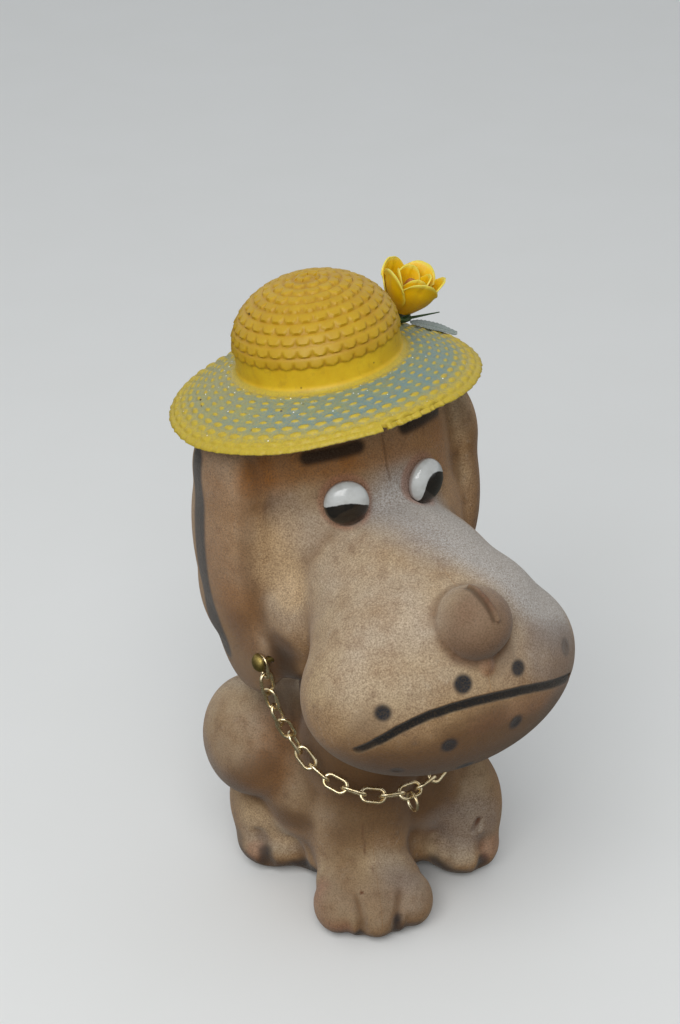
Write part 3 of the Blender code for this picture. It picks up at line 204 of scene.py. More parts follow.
class Finish:
    """A material that is built up node by node."""

    def __init__(self, name, roughness, **constants):
        self.material = bpy.data.materials.new(name)
        self.material.use_nodes = True
        self.tree = self.material.node_tree
        self.shader = self.tree.nodes["Principled BSDF"]
        self.shader.inputs["Roughness"].default_value = roughness
        for socket, value in constants.items():
            self.shader.inputs[socket.replace("_", " ")].default_value = value
        self.place = self.add("ShaderNodeTexCoord").outputs["Object"]

    def add(self, kind, **settings):
        """A new node with its settings."""
        node = self.tree.nodes.new(kind)
        for name, value in settings.items():
            setattr(node, name, value)
        return node

    def feed(self, socket, value):
        """Links another node's output to a socket, or sets a plain value."""
        if isinstance(value, bpy.types.NodeSocket):
            self.tree.links.new(value, socket)
        else:
            socket.default_value = value

    def noise(self, size_mm, detail=2, roughness=0.5):
        """Noise whose spots are about this many millimetres wide."""
        node = self.add("ShaderNodeTexNoise")
        self.feed(node.inputs["Vector"], self.place)
        node.inputs["Scale"].default_value = 1 / (size_mm * MM)
        node.inputs["Detail"].default_value = detail
        node.inputs["Roughness"].default_value = roughness
        return node.outputs["Fac"]

    def specks(self, size_mm, share, radius=0.2):
        """Small round specks in a few of the cells of a grid of this size."""
        node = self.add("ShaderNodeTexVoronoi")
        self.feed(node.inputs["Vector"], self.place)
        node.inputs["Scale"].default_value = 1 / (size_mm * MM)
        split = self.add("ShaderNodeSeparateColor")
        self.feed(split.inputs[0], node.outputs["Color"])
        chosen = self.maths("LESS_THAN", split.outputs[0], share)
        near = self.ranged(node.outputs["Distance"], radius, radius * 0.6)
        return self.maths("MULTIPLY", chosen, near)

    def maths(self, operation, first, second=0, clamp=False):
        """One operation on two values."""
        node = self.add("ShaderNodeMath", operation=operation, use_clamp=clamp)
        self.feed(node.inputs[0], first)
        self.feed(node.inputs[1], second)
        return node.outputs[0]

    def ranged(self, value, low, high, to_low=0, to_high=1):
        """Maps low to high onto a new range; what lies beyond stays at its ends."""
        node = self.add("ShaderNodeMapRange")
        self.feed(node.inputs["Value"], value)
        limits = {"From Min": low, "From Max": high, "To Min": to_low, "To Max": to_high}
        for name, number in limits.items():
            node.inputs[name].default_value = number
        return node.outputs["Result"]

    def mix(self, share, first, second, blend="MIX"):
        """The first colour, with a share of the second one."""
        node = self.add("ShaderNodeMix", data_type="RGBA", blend_type=blend, clamp_factor=True)
        self.feed(node.inputs[0], share)
        for socket, value in ((node.inputs[6], first), (node.inputs[7], second)):
            if not isinstance(value, bpy.types.NodeSocket):
                value = (*value, 1)
            self.feed(socket, value)
        return node.outputs[2]

    def attribute(self, name, output="Fac"):
        """What is painted on the mesh under this name."""
        return self.add("ShaderNodeAttribute", attribute_name=name).outputs[output]

    def bump(self, height, distance_mm, strength=1):
        """Fine grain in the shading alone."""
        node = self.add("ShaderNodeBump")
        self.feed(node.inputs["Height"], height)
        node.inputs["Distance"].default_value = distance_mm * MM
        node.inputs["Strength"].default_value = strength
        self.feed(self.shader.inputs["Normal"], node.outputs["Normal"])

    def colours(self, value):
        """Sets the finish's colour."""
        self.feed(self.shader.inputs["Base Color"], value)

    def rough(self, value):
        """Sets how rough the finish is."""
        self.feed(self.shader.inputs["Roughness"], value)


# %% [markdown]
# ## The floor and the light
# A plain pale floor and a wide soft lamp, high and a little in front, like soft daylight.
# Little light should come back up from below. So the floor looks pale to the camera, and it is
# darker for the light that bounces off it.
# The world fills in the rest of the light evenly. Its own light isn't seen: the camera,
# metal and glossy plastic see a pale backdrop in its place.

# %% Floor, lamp and world
FLOOR_SIZE = 12
bpy.ops.mesh.primitive_plane_add(size=FLOOR_SIZE)
floor = bpy.context.object
floor.name = "floor"
floor_finish = Finish("floor_paper", 0.9)
paper = floor_finish.mix(floor_finish.noise(60), colour(228, 228, 225), colour(231, 231, 229))
seen_directly = floor_finish.add("ShaderNodeLightPath").outputs["Is Camera Ray"]
floor_finish.colours(floor_finish.mix(seen_directly, colour(92, 92, 84), paper))
floor.data.materials.append(floor_finish.material)

LAMP_SIZE = 1.2
LAMP_POWER = 17
LAMP_PLACE = Vector((-0.4, -0.95, 1.25))
lamp_data = bpy.data.lights.new("soft_lamp", "AREA")
lamp_data.size = LAMP_SIZE
lamp_data.energy = LAMP_POWER
lamp = added("soft_lamp", lamp_data)
lamp.location = LAMP_PLACE
lamp.rotation_euler = (Vector((0, 0, 0.12)) - LAMP_PLACE).to_track_quat("-Z", "Y").to_euler()

FILL_STRENGTH = 0.52
world = bpy.data.worlds.new("studio")
bpy.context.scene.world = world
world.use_nodes = True
fill = world.node_tree.nodes["Background"]
fill.inputs["Color"].default_value = (0.92, 0.96, 1, 1)
fill.inputs["Strength"].default_value = FILL_STRENGTH
backdrop = world.node_tree.nodes.new("ShaderNodeBackground")
backdrop.inputs["Color"].default_value = (0.8, 0.81, 0.82, 1)
path = world.node_tree.nodes.new("ShaderNodeLightPath")
chooser = world.node_tree.nodes.new("ShaderNodeMixShader")
world_link = world.node_tree.links.new
seen = path.outputs["Is Camera Ray"]
for kind in ("Is Glossy Ray", "Is Transmission Ray"):
    either = world.node_tree.nodes.new("ShaderNodeMath")
    either.operation = "MAXIMUM"
    world_link(seen, either.inputs[0])
    world_link(path.outputs[kind], either.inputs[1])
    seen = either.outputs[0]
for number, source in enumerate((seen, fill.outputs[0], backdrop.outputs[0])):
    world_link(source, chooser.inputs[number])
world_link(chooser.outputs[0], world.node_tree.nodes["World Output"].inputs[0])
bpy.context.scene.view_settings.view_transform = "Standard"
print("lamp:", LAMP_POWER, "W over", LAMP_SIZE, "m, fill", FILL_STRENGTH)

# %% [markdown]
# ## Frames of reference
# The dog's body looks straight ahead, and its head is turned 22 degrees to its left.
# The hat sits on the head at a slant, and the flower leans on the hat's brim. Each of these has a
# frame of its own, in which its shape is simple to describe.

# %% Frames of the body, head, hat and flower
HEAD_TURN = math.radians(22)
HAT_TIP_BACK = math.radians(7.1)
HAT_ROLL = math.radians(6.1)
HAT_PLACE = Vector((-6.2, 21.8, 109.74)) * MM
BODY = Matrix.Translation((0, 8.5 * MM, 0))
HEAD = Matrix.Translation(Vector((0, 4, 97)) * MM) @ Matrix.Rotation(HEAD_TURN, 4, "Z")
HAT_SLANT = Matrix.Rotation(-HAT_TIP_BACK, 4, "X") @ Matrix.Rotation(-HAT_ROLL, 4, "Y")
HAT = HEAD @ Matrix.Translation(HAT_PLACE) @ HAT_SLANT
print("hat frame at", [round(c / MM, 1) for c in HAT.translation], "mm")

# %% [markdown]
# ## The flocked skin
# A moulded toy starts as a clay model. Here each muscle is a ball of clay, stretched and placed.
# The balls are joined, a voxel remesh wraps one even skin round them, and smoothing rubs the
# joints soft. Small lumps such as toes are added after the first rub, so that they stay crisp.

# %% Clay helpers
BALL_SEGMENTS = 40
BALL_RINGS = 24
ROUGH_VOXEL = 1.6
FINE_VOXEL = 0.75
ROUGH_RUBS = 26
FINE_RUBS = 13
WALL = 2.5


def ball(centre, radii, tilt=0, shrink=0):
    """One stretched ball of clay, in millimetres."""
    bpy.ops.mesh.primitive_uv_sphere_add(segments=BALL_SEGMENTS, ring_count=BALL_RINGS, radius=MM)
    item = bpy.context.object
    item.location = Vector(centre) * MM
    item.rotation_euler = (math.radians(tilt), 0, 0)
    item.scale = [radius - shrink for radius in radii]
    return item


def wrapped(name, balls, voxel, rubs):
    """One even skin round all the balls, rubbed smooth."""
    settle(*balls)
    item = joined(name, balls)
    remesh = item.modifiers.new("even skin", "REMESH")
    remesh.mode = "VOXEL"
    remesh.voxel_size = voxel * MM
    rub = item.modifiers.new("rubbed smooth", "SMOOTH")
    rub.iterations = rubs
    return apply_modifiers(item)


def skin(name, main, fine):
    """The outer skin: the main balls blended softly, then the fine ones at a finer grain."""
    soft = wrapped(name, [ball(*shape) for shape in main], ROUGH_VOXEL, ROUGH_RUBS)
    return wrapped(name, [ball(*shape) for shape in fine] + [soft], FINE_VOXEL, FINE_RUBS)


def hollow(name, main):
    """The inside of the wall: the same balls, smaller by the wall's thickness."""
    return wrapped(name, [ball(*shape, shrink=WALL) for shape in main], ROUGH_VOXEL, ROUGH_RUBS)


# %% [markdown]
# ## Lines in the skin
# A mouth, or a groove between toes, is drawn as a few points. Every point of the skin that is near
# such a line gets a weight, and a Displace modifier pushes it in by that weight.

# %% Helpers for lines
def nearness(places, path, half_width, soft):
    """1 on a painted or carved line, 0 beyond its soft edge."""
    path = np.array(path, float)
    distance = np.linalg.norm(places - path[0], axis=1)
    for start, end in zip(path, path[1:]):
        along = end - start
        share = np.clip((places - start) @ along / (along @ along), 0, 1)
        offset = places - start - share[:, None] * along
        distance = np.minimum(distance, np.linalg.norm(offset, axis=1))
    return smooth_step((half_width + soft - distance) / soft)


def mirrored(path):
    """The same line on the other side of the mid plane."""
    return [(-x, y, z) for x, y, z in path]


def refine(item, matrix, paths, reach):
    """Cuts the faces near some lines into four, so that they can carry finer work."""
    only(item)
    bpy.ops.object.mode_set(mode="EDIT")
    bpy.ops.mesh.select_all(action="DESELECT")
    bpy.ops.object.mode_set(mode="OBJECT")
    places = in_frame(points_of(item), matrix)
    near = np.zeros(len(places), bool)
    for path in paths:
        near |= nearness(places, path, reach, 0.01) > 0.5
    chosen = [all(near[index] for index in face.vertices) for face in item.data.polygons]
    item.data.polygons.foreach_set("select", chosen)
    bpy.ops.object.mode_set(mode="EDIT")
    bpy.ops.mesh.select_mode(type="FACE")
    bpy.ops.mesh.subdivide(number_cuts=1, smoothness=0)
    bpy.ops.object.mode_set(mode="OBJECT")
    return sum(chosen)


def carve(item, matrix, strokes, depth):
    """Presses lines into the skin with a weighted Displace; a negative depth raises them."""
    places = in_frame(points_of(item), matrix)
    weight = np.zeros(len(places))
    for path, half_width, soft, strength in strokes:
        weight = np.maximum(weight, strength * nearness(places, path, half_width, soft))
    group = item.vertex_groups.new(name="carving")
    for index in np.nonzero(weight > 0.001)[0]:
        group.add([int(index)], float(weight[index]), "REPLACE")
    push = item.modifiers.new("carving", "DISPLACE")
    push.vertex_group = "carving"
    push.mid_level = 0
    push.strength = -depth * MM
    apply_modifiers(item)
    item.vertex_groups.clear()


# %% [markdown]
# ## Paint that follows the shape
# An airbrush leaves soft strokes, painted shade darkens the folds, and painted light makes what faces
# the lamp paler and what faces away warmer and darker. All three are worked out for each point of the
# skin and stored as attributes for the material.

# %% Helpers for painted fold shade, strokes and painted light
FOLD_RUBS = 40
FOLD_START = 0.06
FOLD_FULL = 0.75
FOLD_SHADE_STRENGTH = 0.5
PAINTED_LIGHT_DIRECTION = (-0.25, -0.4, 0.88)
PAINTED_LIGHT_START = 0.05
PAINTED_LIGHT_FULL = 0.85


def creases(item, rubs):
    """How deep each point lies in a fold, in millimetres: its distance below a well rubbed copy."""
    places = points_of(item)
    edges = np.empty(len(item.data.edges) * 2, np.int64)
    item.data.edges.foreach_get("vertices", edges)
    first, second = edges.reshape(-1, 2).T
    count = np.bincount(edges, minlength=len(places))[:, None]
    rubbed = places.copy()
    for _ in range(rubs):
        sums = [np.bincount(first, rubbed[second, axis], len(places)) for axis in range(3)]
        more = [np.bincount(second, rubbed[first, axis], len(places)) for axis in range(3)]
        rubbed = (np.array(sums) + np.array(more)).T / count
    depth = ((rubbed - places) * normals_of(item)).sum(1) / MM
    tree = KDTree(len(places))
    for index, place in enumerate(places):
        tree.insert(place, index)
    tree.balance()
    return tree, depth


def store(item, name, values):
    """A number for every point, that a material can read by name."""
    layer = item.data.attributes.new(name, "FLOAT", "POINT")
    layer.data.foreach_set("value", np.asarray(values, np.float32))


def airbrush_and_shade(item, matrix, strokes, folds):
    """Paints shade into the folds, then sprays each stroke in turn; the colour's alpha is how much
    paint is there.

    A stroke is a colour, a path, half its width, the width of its soft edge, and its strength.
    """
    places = in_frame(points_of(item), matrix)
    tree, depth = folds
    in_fold = np.array([depth[tree.find(vertex.co)[1]] for vertex in item.data.vertices])
    paint = np.zeros((len(places), 3)) + np.array(BROWN)
    # Painted shade: the deeper a point lies in a fold, the more brown it gets.
    amount = FOLD_SHADE_STRENGTH * smooth_step((in_fold - FOLD_START) / (FOLD_FULL - FOLD_START))
    for shade, path, half_width, soft, strength in strokes:
        share = strength * nearness(places, path, half_width, soft)
        total = 1 - (1 - amount) * (1 - share)
        weight = np.where(total > 1e-6, share / np.maximum(total, 1e-6), 0)[:, None]
        paint = paint * (1 - weight) + np.array(shade) * weight
        amount = total
    # Painted light: how far each point faces the lamp; the flock is paler there, warmer and darker
    # elsewhere.
    facing = normals_of(item) @ np.array(PAINTED_LIGHT_DIRECTION)
    store(item, "sun", smooth_step((facing - PAINTED_LIGHT_START) / (PAINTED_LIGHT_FULL - PAINTED_LIGHT_START)))
    layer = item.data.color_attributes.new("airbrush_and_shade", "FLOAT_COLOR", "POINT")
    layer.data.foreach_set("color", np.column_stack([paint, amount]).astype(np.float32).ravel())


# %% [markdown]
# ## Flock
# Flock is cut fibre glued on end. It looks soft because light catches the fibre tips at grazing
# angles, which the shader's sheen gives. Up close it is a fine grain of light and dark. Age has
# left it blotchy and greyer where it was handled. Painted light makes it paler where it faces the
# lamp, and painted shade makes it warmer and darker where it faces away.

# %% The flock, and the bare plastic inside
BLACK = colour(30, 28, 27)
BROWN = colour(92, 60, 30)
ORANGE = colour(152, 96, 40)
GREY = colour(140, 132, 128)
PALE_GREY = colour(178, 173, 168)
CREAM = colour(198, 168, 128)
BLUE_BLACK = colour(38, 40, 45)
PINK = colour(160, 112, 88)
NOSE_BROWN = colour(118, 92, 74)
SCAR = colour(98, 60, 40)
DEEP_BROWN = colour(48, 32, 14)


def flock_finish():
    """Short tan flock with grain, blotches, worn spots, the sprayed markings and painted light and
    shade.
    """
    flock = Finish("flock", 1, Sheen_Weight=0.28, Sheen_Roughness=0.45, Specular_IOR_Level=0.18)
    flock.shader.inputs["Sheen Tint"].default_value = (1, 0.93, 0.84, 1)
    grain = flock.noise(0.55, 3, 0.62)
    fibres = flock.noise(0.2, 2, 0.6)
    blotch = flock.noise(9, 4, 0.55)
    drift = flock.noise(42, 2, 0.5)
    worn = flock.noise(3.2, 4, 0.7)
    # Painted light and shade: a pale flock where the skin faces the lamp, a warmer, darker one where it
    # faces away.
    painted_lit_flock = flock.mix(flock.ranged(drift, 0.38, 0.62), colour(180, 156, 122), colour(180, 162, 140))
    painted_shaded_flock = flock.mix(flock.ranged(drift, 0.35, 0.65), colour(158, 116, 70), colour(166, 128, 86))
    base = flock.mix(flock.attribute("sun"), painted_shaded_flock, painted_lit_flock)
    base = flock.mix(flock.ranged(blotch, 0.4, 0.72, 0, 0.5), base, colour(142, 108, 74))
    base = flock.mix(flock.ranged(worn, 0.58, 0.76, 0, 0.34), base, colour(190, 174, 154))
    soiled = flock.noise(4.5, 4, 0.6)
    base = flock.mix(flock.ranged(soiled, 0.56, 0.76, 0, 0.38), base, colour(118, 96, 80))
    shown = flock.attribute("airbrush_and_shade", "Alpha")
    ragged = flock.maths("ADD", shown, flock.ranged(grain, 0.2, 0.8, -0.22, 0.22))
    ragged = flock.maths("MULTIPLY", ragged, flock.ranged(shown, 0, 0.12), clamp=True)
    base = flock.mix(ragged, base, flock.attribute("airbrush_and_shade", "Color"))
    speckled = flock.mix(flock.ranged(grain, 0.34, 0.66), (0.64, 0.61, 0.58), (1.26, 1.27, 1.28))
    base = flock.mix(1, base, speckled, "MULTIPLY")
    flock.colours(base)
    flock.bump(flock.maths("ADD", grain, flock.maths("MULTIPLY", fibres, 0.5)), 0.3, 0.8)
    return flock.material


def bare_finish():
    """The bare cream plastic inside, with moulding ripples and dust."""
    bare = Finish("bare_plastic", 0.5, Specular_IOR_Level=0.4)
    ripple = bare.noise(5, 3)
    bare.colours(bare.mix(bare.ranged(ripple, 0.3, 0.7), colour(196, 178, 146), colour(178, 156, 122)))
    bare.bump(ripple, 0.2, 0.5)
    return bare.material


FLOCK = flock_finish()
BARE = bare_finish()
print("finishes:", FLOCK.name, BARE.name)

# %% [markdown]
# ## Cutting tools
# The moulding is cut with blocks and rods, as a maker would saw and drill it. Blender's Manifold
# solver does this quickly and cleanly on closed meshes such as these.

# %% Blocks, rods and turned shapes
FAR = 200
ROD_STEPS = 96
CAVITY_REACH = 0.3


def block(low, high):
    """A cutting block from its two corners, in millimetres."""
    bpy.ops.mesh.primitive_cube_add(size=MM)
    item = bpy.context.object
    item.location = (Vector(low) + Vector(high)) * MM / 2
    item.scale = Vector(high) - Vector(low)
    settle(item)
    return item


def rod(radius, low, high, centre=(0, 0)):
    """An upright rod, in millimetres."""
    depth = (high - low) * MM
    bpy.ops.mesh.primitive_cylinder_add(vertices=ROD_STEPS, radius=radius * MM, depth=depth)
    item = bpy.context.object
    item.location = Vector((centre[0], centre[1], (low + high) / 2)) * MM
    settle(item)
    return item


def turned(name, profile, steps):
    """A solid spun about Z from a profile of (radius, height) in millimetres, from the top down."""
    mesh = bpy.data.meshes.new(name)
    corners = [(radius * MM, 0, height * MM) for radius, height in profile]
    mesh.from_pydata(corners, [(i, i + 1) for i in range(len(corners) - 1)], [])
    item = added(name, mesh)
    edit_all(item)
    bpy.ops.mesh.spin(steps=steps, angle=2 * math.pi, center=(0, 0, 0), axis=(0, 0, 1))
    bpy.ops.mesh.select_all(action="SELECT")
    bpy.ops.mesh.remove_doubles(threshold=0.002 * MM)
    bpy.ops.mesh.normals_make_consistent(inside=False)
    bpy.ops.object.mode_set(mode="OBJECT")
    return item


def cut(item, tool, operation="DIFFERENCE"):
    """A Boolean with the Manifold solver."""
    boolean = item.modifiers.new("cut", "BOOLEAN")
    boolean.operation = operation
    boolean.object = tool
    boolean.solver = "MANIFOLD"


def line_cavity(item, tree):
    """Gives the faces of the cavity the bare plastic."""
    item.data.materials.clear()
    item.data.materials.append(FLOCK)
    item.data.materials.append(BARE)
    nearest = [tree.find_nearest(face.center, CAVITY_REACH * MM)[0] for face in item.data.polygons]
    item.data.polygons.foreach_set("material_index", [int(hit is not None) for hit in nearest])


def tree_of(item):
    """The surface of an object, for finding what lies near it."""
    corners = [vertex.co for vertex in item.data.vertices]
    return BVHTree.FromPolygons(corners, [face.vertices for face in item.data.polygons])


# %% [markdown]
# ## The body
# The body is a thin hollow moulding in two halves, glued along the mid plane. Its front legs are one
# column with three toe lobes below. The left hind foot stands further forward than the right one.

# %% Clay for the body
def both(shape):
    """A lump and its twin on the other side."""
    (x, y, z), *rest = shape
    return [shape, ((-x, y, z), *rest)]


BODY_HOLLOW = [
    ((0, -4.5, 88), (24.5, 24.5, 24)),
    ((-2, -7.5, 64), (22.5, 19, 30)),
    ((-3.5, -11, 32), (18.5, 13, 36)),
    ((0, 12, 59), (26, 24, 34)),
    ((0, 24, 41), (38, 27, 41)),
    ((0, 18, 13), (37, 32, 20)),
    *both(((21, 4, 42), (16, 18, 27))),
    ((-1.6, -22, 11.9), (20, 16, 12.5)),
    ((-39, 12, 57), (19, 24, 22)),
    ((30.5, 20.5, 50.2), (19, 24, 22)),
]
BODY_SOLID = [
    ((-34.5, 18, 23), (14, 18, 23)),
    ((-32, 11, 9.4), (15, 14, 10)),
    ((39, 4.5, 23), (14, 18, 23)),
    ((36.5, -2.5, 9.4), (15, 14, 10)),
]
TOES = [((-1 + 13 * n, -34 + 4.2 * abs(n), 8.9), (8.8, 11.5, 9.5)) for n in (-1, 0, 1)]
TOES += [((-1 + 6.5 * n, -33.2, 8.6), (6.4, 10.2, 9)) for n in (-1, 1)]
body_skin = skin("body_skin", BODY_HOLLOW + BODY_SOLID, TOES)
body_cavity = hollow("body_cavity", BODY_HOLLOW)
print("body skin:", len(body_skin.data.polygons), "faces")

# %% [markdown]
# ## Toe grooves and dents
# Grooves part the toes of each foot, and the left foot has an old dent in its toe. Each line is
# given as a few points on the skin, which is pushed in by a weight that fades to either side.

# %% Carve the feet
RIGHT_TOE_GROOVES = [
    [(-38.5, 3, 18.5), (-37.4, -0.4, 13), (-36.6, -2, 6), (-36.4, -2.2, 1)],
    [(-25.8, -2, 19), (-24.8, -5, 13), (-24.4, -5.8, 7), (-24.4, -5.5, 1)],
]
LEFT_TOE_GROOVES = [
    [(28.5, -13, 19), (28, -15.5, 13), (27.8, -16.2, 7), (27.8, -15.8, 1)],
    [(41.2, -8.5, 21), (42.4, -12.4, 14), (42.8, -13.6, 7), (42.8, -13.6, 1)],
]
FRONT_TOE_GROOVES = [
    [(-8.8, -36.5, 18.8), (-8, -39.3, 15.5), (-7.8, -41.6, 13), (-7.6, -43.4, 10), (-7.5, -43.9, 7),
     (-7.5, -43.2, 3.5), (-7.5, -41.5, 0.5)],
    [(8, -35.5, 19), (7.2, -38.8, 15.8), (6.5, -41.4, 13), (5.9, -43.2, 10), (5.7, -43.8, 7),
     (5.6, -43.2, 3.5), (5.5, -41.5, 0.5)],
]
DENT = [(40.6, -11.8, 27.2), (39, -13.2, 23)]
DENT_RIM = [(42.4, -10.6, 25.5), (41.2, -12.2, 22.2)]
TRIM_IN = 0.9985
GROOVE_DEPTH = 2.1
DENT_RIM_HEIGHT = 0.7
CHEST_MOULD_LINE = [
    (-3.5, -25, 58), (-4.3, -23.8, 38.6), (-3.4, -24, 27), (-1.5, -27.5, 23.8), (0, -38, 15.6),
]
grooves = [(path, 0.5, 4, 1) for path in RIGHT_TOE_GROOVES + LEFT_TOE_GROOVES]
grooves += [(path, 0.3, 2.6, 0.85) for path in FRONT_TOE_GROOVES]
grooves += [(DENT, 0.5, 1.6, 0.55)]
body_skin.data.transform(Matrix.Scale(TRIM_IN, 4))
body_skin.data.transform(BODY)
body_cavity.data.transform(BODY)
fine_faces = refine(body_skin, BODY, [DENT], 3.5)
carve(body_skin, BODY, grooves, GROOVE_DEPTH)
carve(body_skin, BODY, [(DENT_RIM, 0.5, 1.2, 1)], -DENT_RIM_HEIGHT)
print("toe grooves:", len(grooves), "strokes,", fine_faces, "faces refined")

# %% [markdown]
# ## Halves, holes and the coin slot
# The skin is cut flat below and at the neck's rim, and hollowed. The coin slot runs across the back,
# a recess in the base holds the stopper, and the head's spigot turns in a round hole on top.

# %% Saw and drill the body
SEAM = 0.005
NECK_TOP = 97
NECK_AXIS = (0, -4.5)
NECK_BORE = 14.5
NECK_INSIDE = 19
BODY_FLOOR = 4.5
STOPPER_Y = 18
STOPPER_RADIUS = 14.5
STOPPER_GAP = 0.3
LIP_RECESS = 2.8
LIP_DEPTH = 2
SLOT = ((-18, 14, 67.5), (18, 80, 72.5))


def shifted(item, matrix):
    """A piece or a cutting tool, carried into a frame."""
    item.data.transform(matrix)
    return item


cavity_limits = [
    shifted(block((-FAR, -FAR, -FAR), (FAR, FAR, BODY_FLOOR)), BODY),
    shifted(block((-FAR, -FAR, NECK_TOP - WALL), (FAR, FAR, FAR)), BODY),
]
for tool in cavity_limits:
    cut(body_cavity, tool)
apply_modifiers(body_cavity)
body_tools = [
    block((-FAR, -FAR, -FAR), (FAR, FAR, 0)),
    block((-FAR, -FAR, NECK_TOP), (FAR, FAR, FAR)),
    rod(NECK_INSIDE, NECK_TOP - 22, NECK_TOP - WALL, NECK_AXIS),
    rod(NECK_BORE, NECK_TOP - 15, NECK_TOP + 10, NECK_AXIS),
    block(*SLOT),
    rod(STOPPER_RADIUS + STOPPER_GAP, -10, BODY_FLOOR + 10, (0, STOPPER_Y)),
    rod(STOPPER_RADIUS + LIP_RECESS, -10, LIP_DEPTH, (0, STOPPER_Y)),
]
for tool in body_tools:
    tool.data.transform(BODY)


def glued_half(name, whole, matrix, side, tools):
    """One half of a moulding: the whole skin less the other side and the other cutting tools."""
    half = copy_of(whole, name)
    low = (-FAR, -FAR, -FAR) if side > 0 else (-SEAM, -FAR, -FAR)
    high = (SEAM, FAR, FAR) if side > 0 else (FAR, FAR, FAR)
    other_side = shifted(block(low, high), matrix)
    cut(half, other_side)
    for tool in tools:
        cut(half, tool)
    apply_modifiers(half)
    discard(other_side)
    return half


body_right = glued_half("body_right", body_skin, BODY, -1, [body_cavity] + body_tools)
body_left = glued_half("body_left", body_skin, BODY, 1, [body_cavity] + body_tools)
print("body halves:", len(body_right.data.polygons), len(body_left.data.polygons), "faces")

# %% [markdown]
# ## Sprayed markings and painted shade on the body
# The maker sprayed soft dark shading between the toes and under the haunches, and age has added
# grey-blue grime at the front of the feet and a few small brown spots. Painted shade darkens the
# chest under the head and the valley beside the right haunch, and a painted highlight lightens a toe.

# %% Airbrush the body and paint its shade
BODY_PAINT = [
    (BROWN, [(-44, 2, 60), (-40, -6, 52)], 10, 14, 0.32),
    # Painted shade on the chest under the head.
    (BROWN, [(-25, 0, 84), (-22, -16, 72), (-14, -24, 66), (6, -26, 66)], 6, 12, 0.75),
    (BROWN, [(-14, -30, 30), (-12, -38, 16), (10, -38, 16)], 6, 10, 0.42),
    (BLUE_BLACK, [(-47, 8, 5), (-36, -1, 4), (-24, -5, 4), (-17, -6, 4)], 2, 4.5, 0.55),
    (BLUE_BLACK, [(21, -11, 4), (30, -16, 3), (42, -13, 3)], 1.6, 4, 0.5),
    (BLUE_BLACK, [(-15, -38, 3), (-8, -42.5, 3)], 1.2, 3, 0.5),
    (BLUE_BLACK, [(5, -44, 3), (13, -40, 4)], 1.2, 3, 0.5),
    (BROWN, [(-52, 4, 34), (-36, -8, 32), (-24, -12, 34)], 2, 6, 0.55),
    (BROWN, [(44, 10, 46), (36, -2, 40), (22, -14, 44)], 6, 14, 0.3),
    (ORANGE, [(-40, -8, 46), (-34, -10, 62), (-30, -6, 74)], 3, 9, 0.35),
    (BROWN, [(-30, -10, 34), (-40, -6, 34), (-50, 4, 38)], 2, 7, 0.42),
    # Painted shade in the valley between the right haunch and the chest.
    (BROWN, [(-20, -14, 66), (-21, -12, 40), (-21, -9, 18)], 1.5, 6, 0.38),
    (GREY, [(-50, -2, 44), (-54, 8, 50)], 5, 10, 0.45),
    (GREY, [(-38, 2, 20), (-28, 0, 20)], 4, 8, 0.35),
    (CREAM, [(-42, 2, 24), (-35, -0.6, 23), (-28, 0, 20)], 3, 5, 0.5),
    (BROWN, [(-38, -12, 60), (-43, -11, 56), (-48, -7.4, 50)], 2, 7, 0.48),
    # Painted shade on the chest below the head.
    (BROWN, [(-8, -28, 46), (8, -26, 46), (20, -16, 44)], 7, 14, 0.6),
    (BROWN, [(20, -16, 30), (22, -14, 16)], 2, 7, 0.4),
    (GREY, [(4, -30, 28), (10, -32, 22)], 3, 7, 0.3),
    (GREY, [(30, -14, 24), (40, -12, 26)], 6, 9, 0.45),
    (BLUE_BLACK, [(-42, 2, 4), (-46.5, 8, 6), (-46.5, 10, 12)], 2, 5, 0.5),
    (PINK, [(-41, 0, 11)], 2.5, 4, 0.45),
    (BROWN, FRONT_TOE_GROOVES[0], 0.2, 2, 0.45),
    (BROWN, FRONT_TOE_GROOVES[1], 0.2, 2, 0.45),
    (BROWN, [(-40, 0, 3), (-30, -5, 3), (-20, -4, 3)], 2.5, 5, 0.55),
    (BLUE_BLACK, [(-37.2, -0.5, 12), (-36.6, -2, 5)], 1.2, 2.8, 0.88),
    (BLUE_BLACK, [(-26, -5, 5), (-22, -5.5, 6), (-19, -6, 4)], 2.2, 3.6, 0.8),
    (PINK, [(-19, -28, 12), (-14, -38, 5)], 3, 5, 0.55),
    (BROWN, [(-15, -38, 2), (-8, -42, 2), (4, -44, 2), (13, -40, 2)], 1.5, 4, 0.5),
    (BLUE_BLACK, [(-8, -40.5, 4)], 0.8, 2.4, 0.75),
    (BLUE_BLACK, [(5.8, -40, 9), (6.6, -41, 3)], 1.2, 2.6, 0.85),
    (BROWN, [(8, -42, 5)], 1.5, 3.5, 0.5),
    (BLUE_BLACK, [(24, -12, 8), (30, -16, 4), (34, -16.5, 3)], 1.8, 3.6, 0.8),
    (BLUE_BLACK, [(42.8, -12.8, 9), (42.8, -13, 3)], 1.3, 2.6, 0.88),
    # Painted highlight on the outer toe of the left foot.
    (PINK, [(46, -9, 12), (49, -5, 8)], 3, 4.5, 0.45),
    (BROWN, [(44, -12, 3), (50, -6, 4)], 2, 4, 0.5),
    (SCAR, DENT, 0.5, 0.9, 0.85),
    (SCAR, [(-6.2, -35.4, 18)], 0.5, 0.5, 0.9),
    (SCAR, [(-6, -36.6, 16.4), (-5.6, -39, 12)], 0.1, 0.4, 0.25),
    (SCAR, CHEST_MOULD_LINE, 0.1, 0.6, 0.55),
    (BROWN, [(-18, 52, 66), (18, 52, 66)], 1, 6, 0.35),
]
body_folds = creases(body_skin, FOLD_RUBS)
body_tree = tree_of(body_cavity)
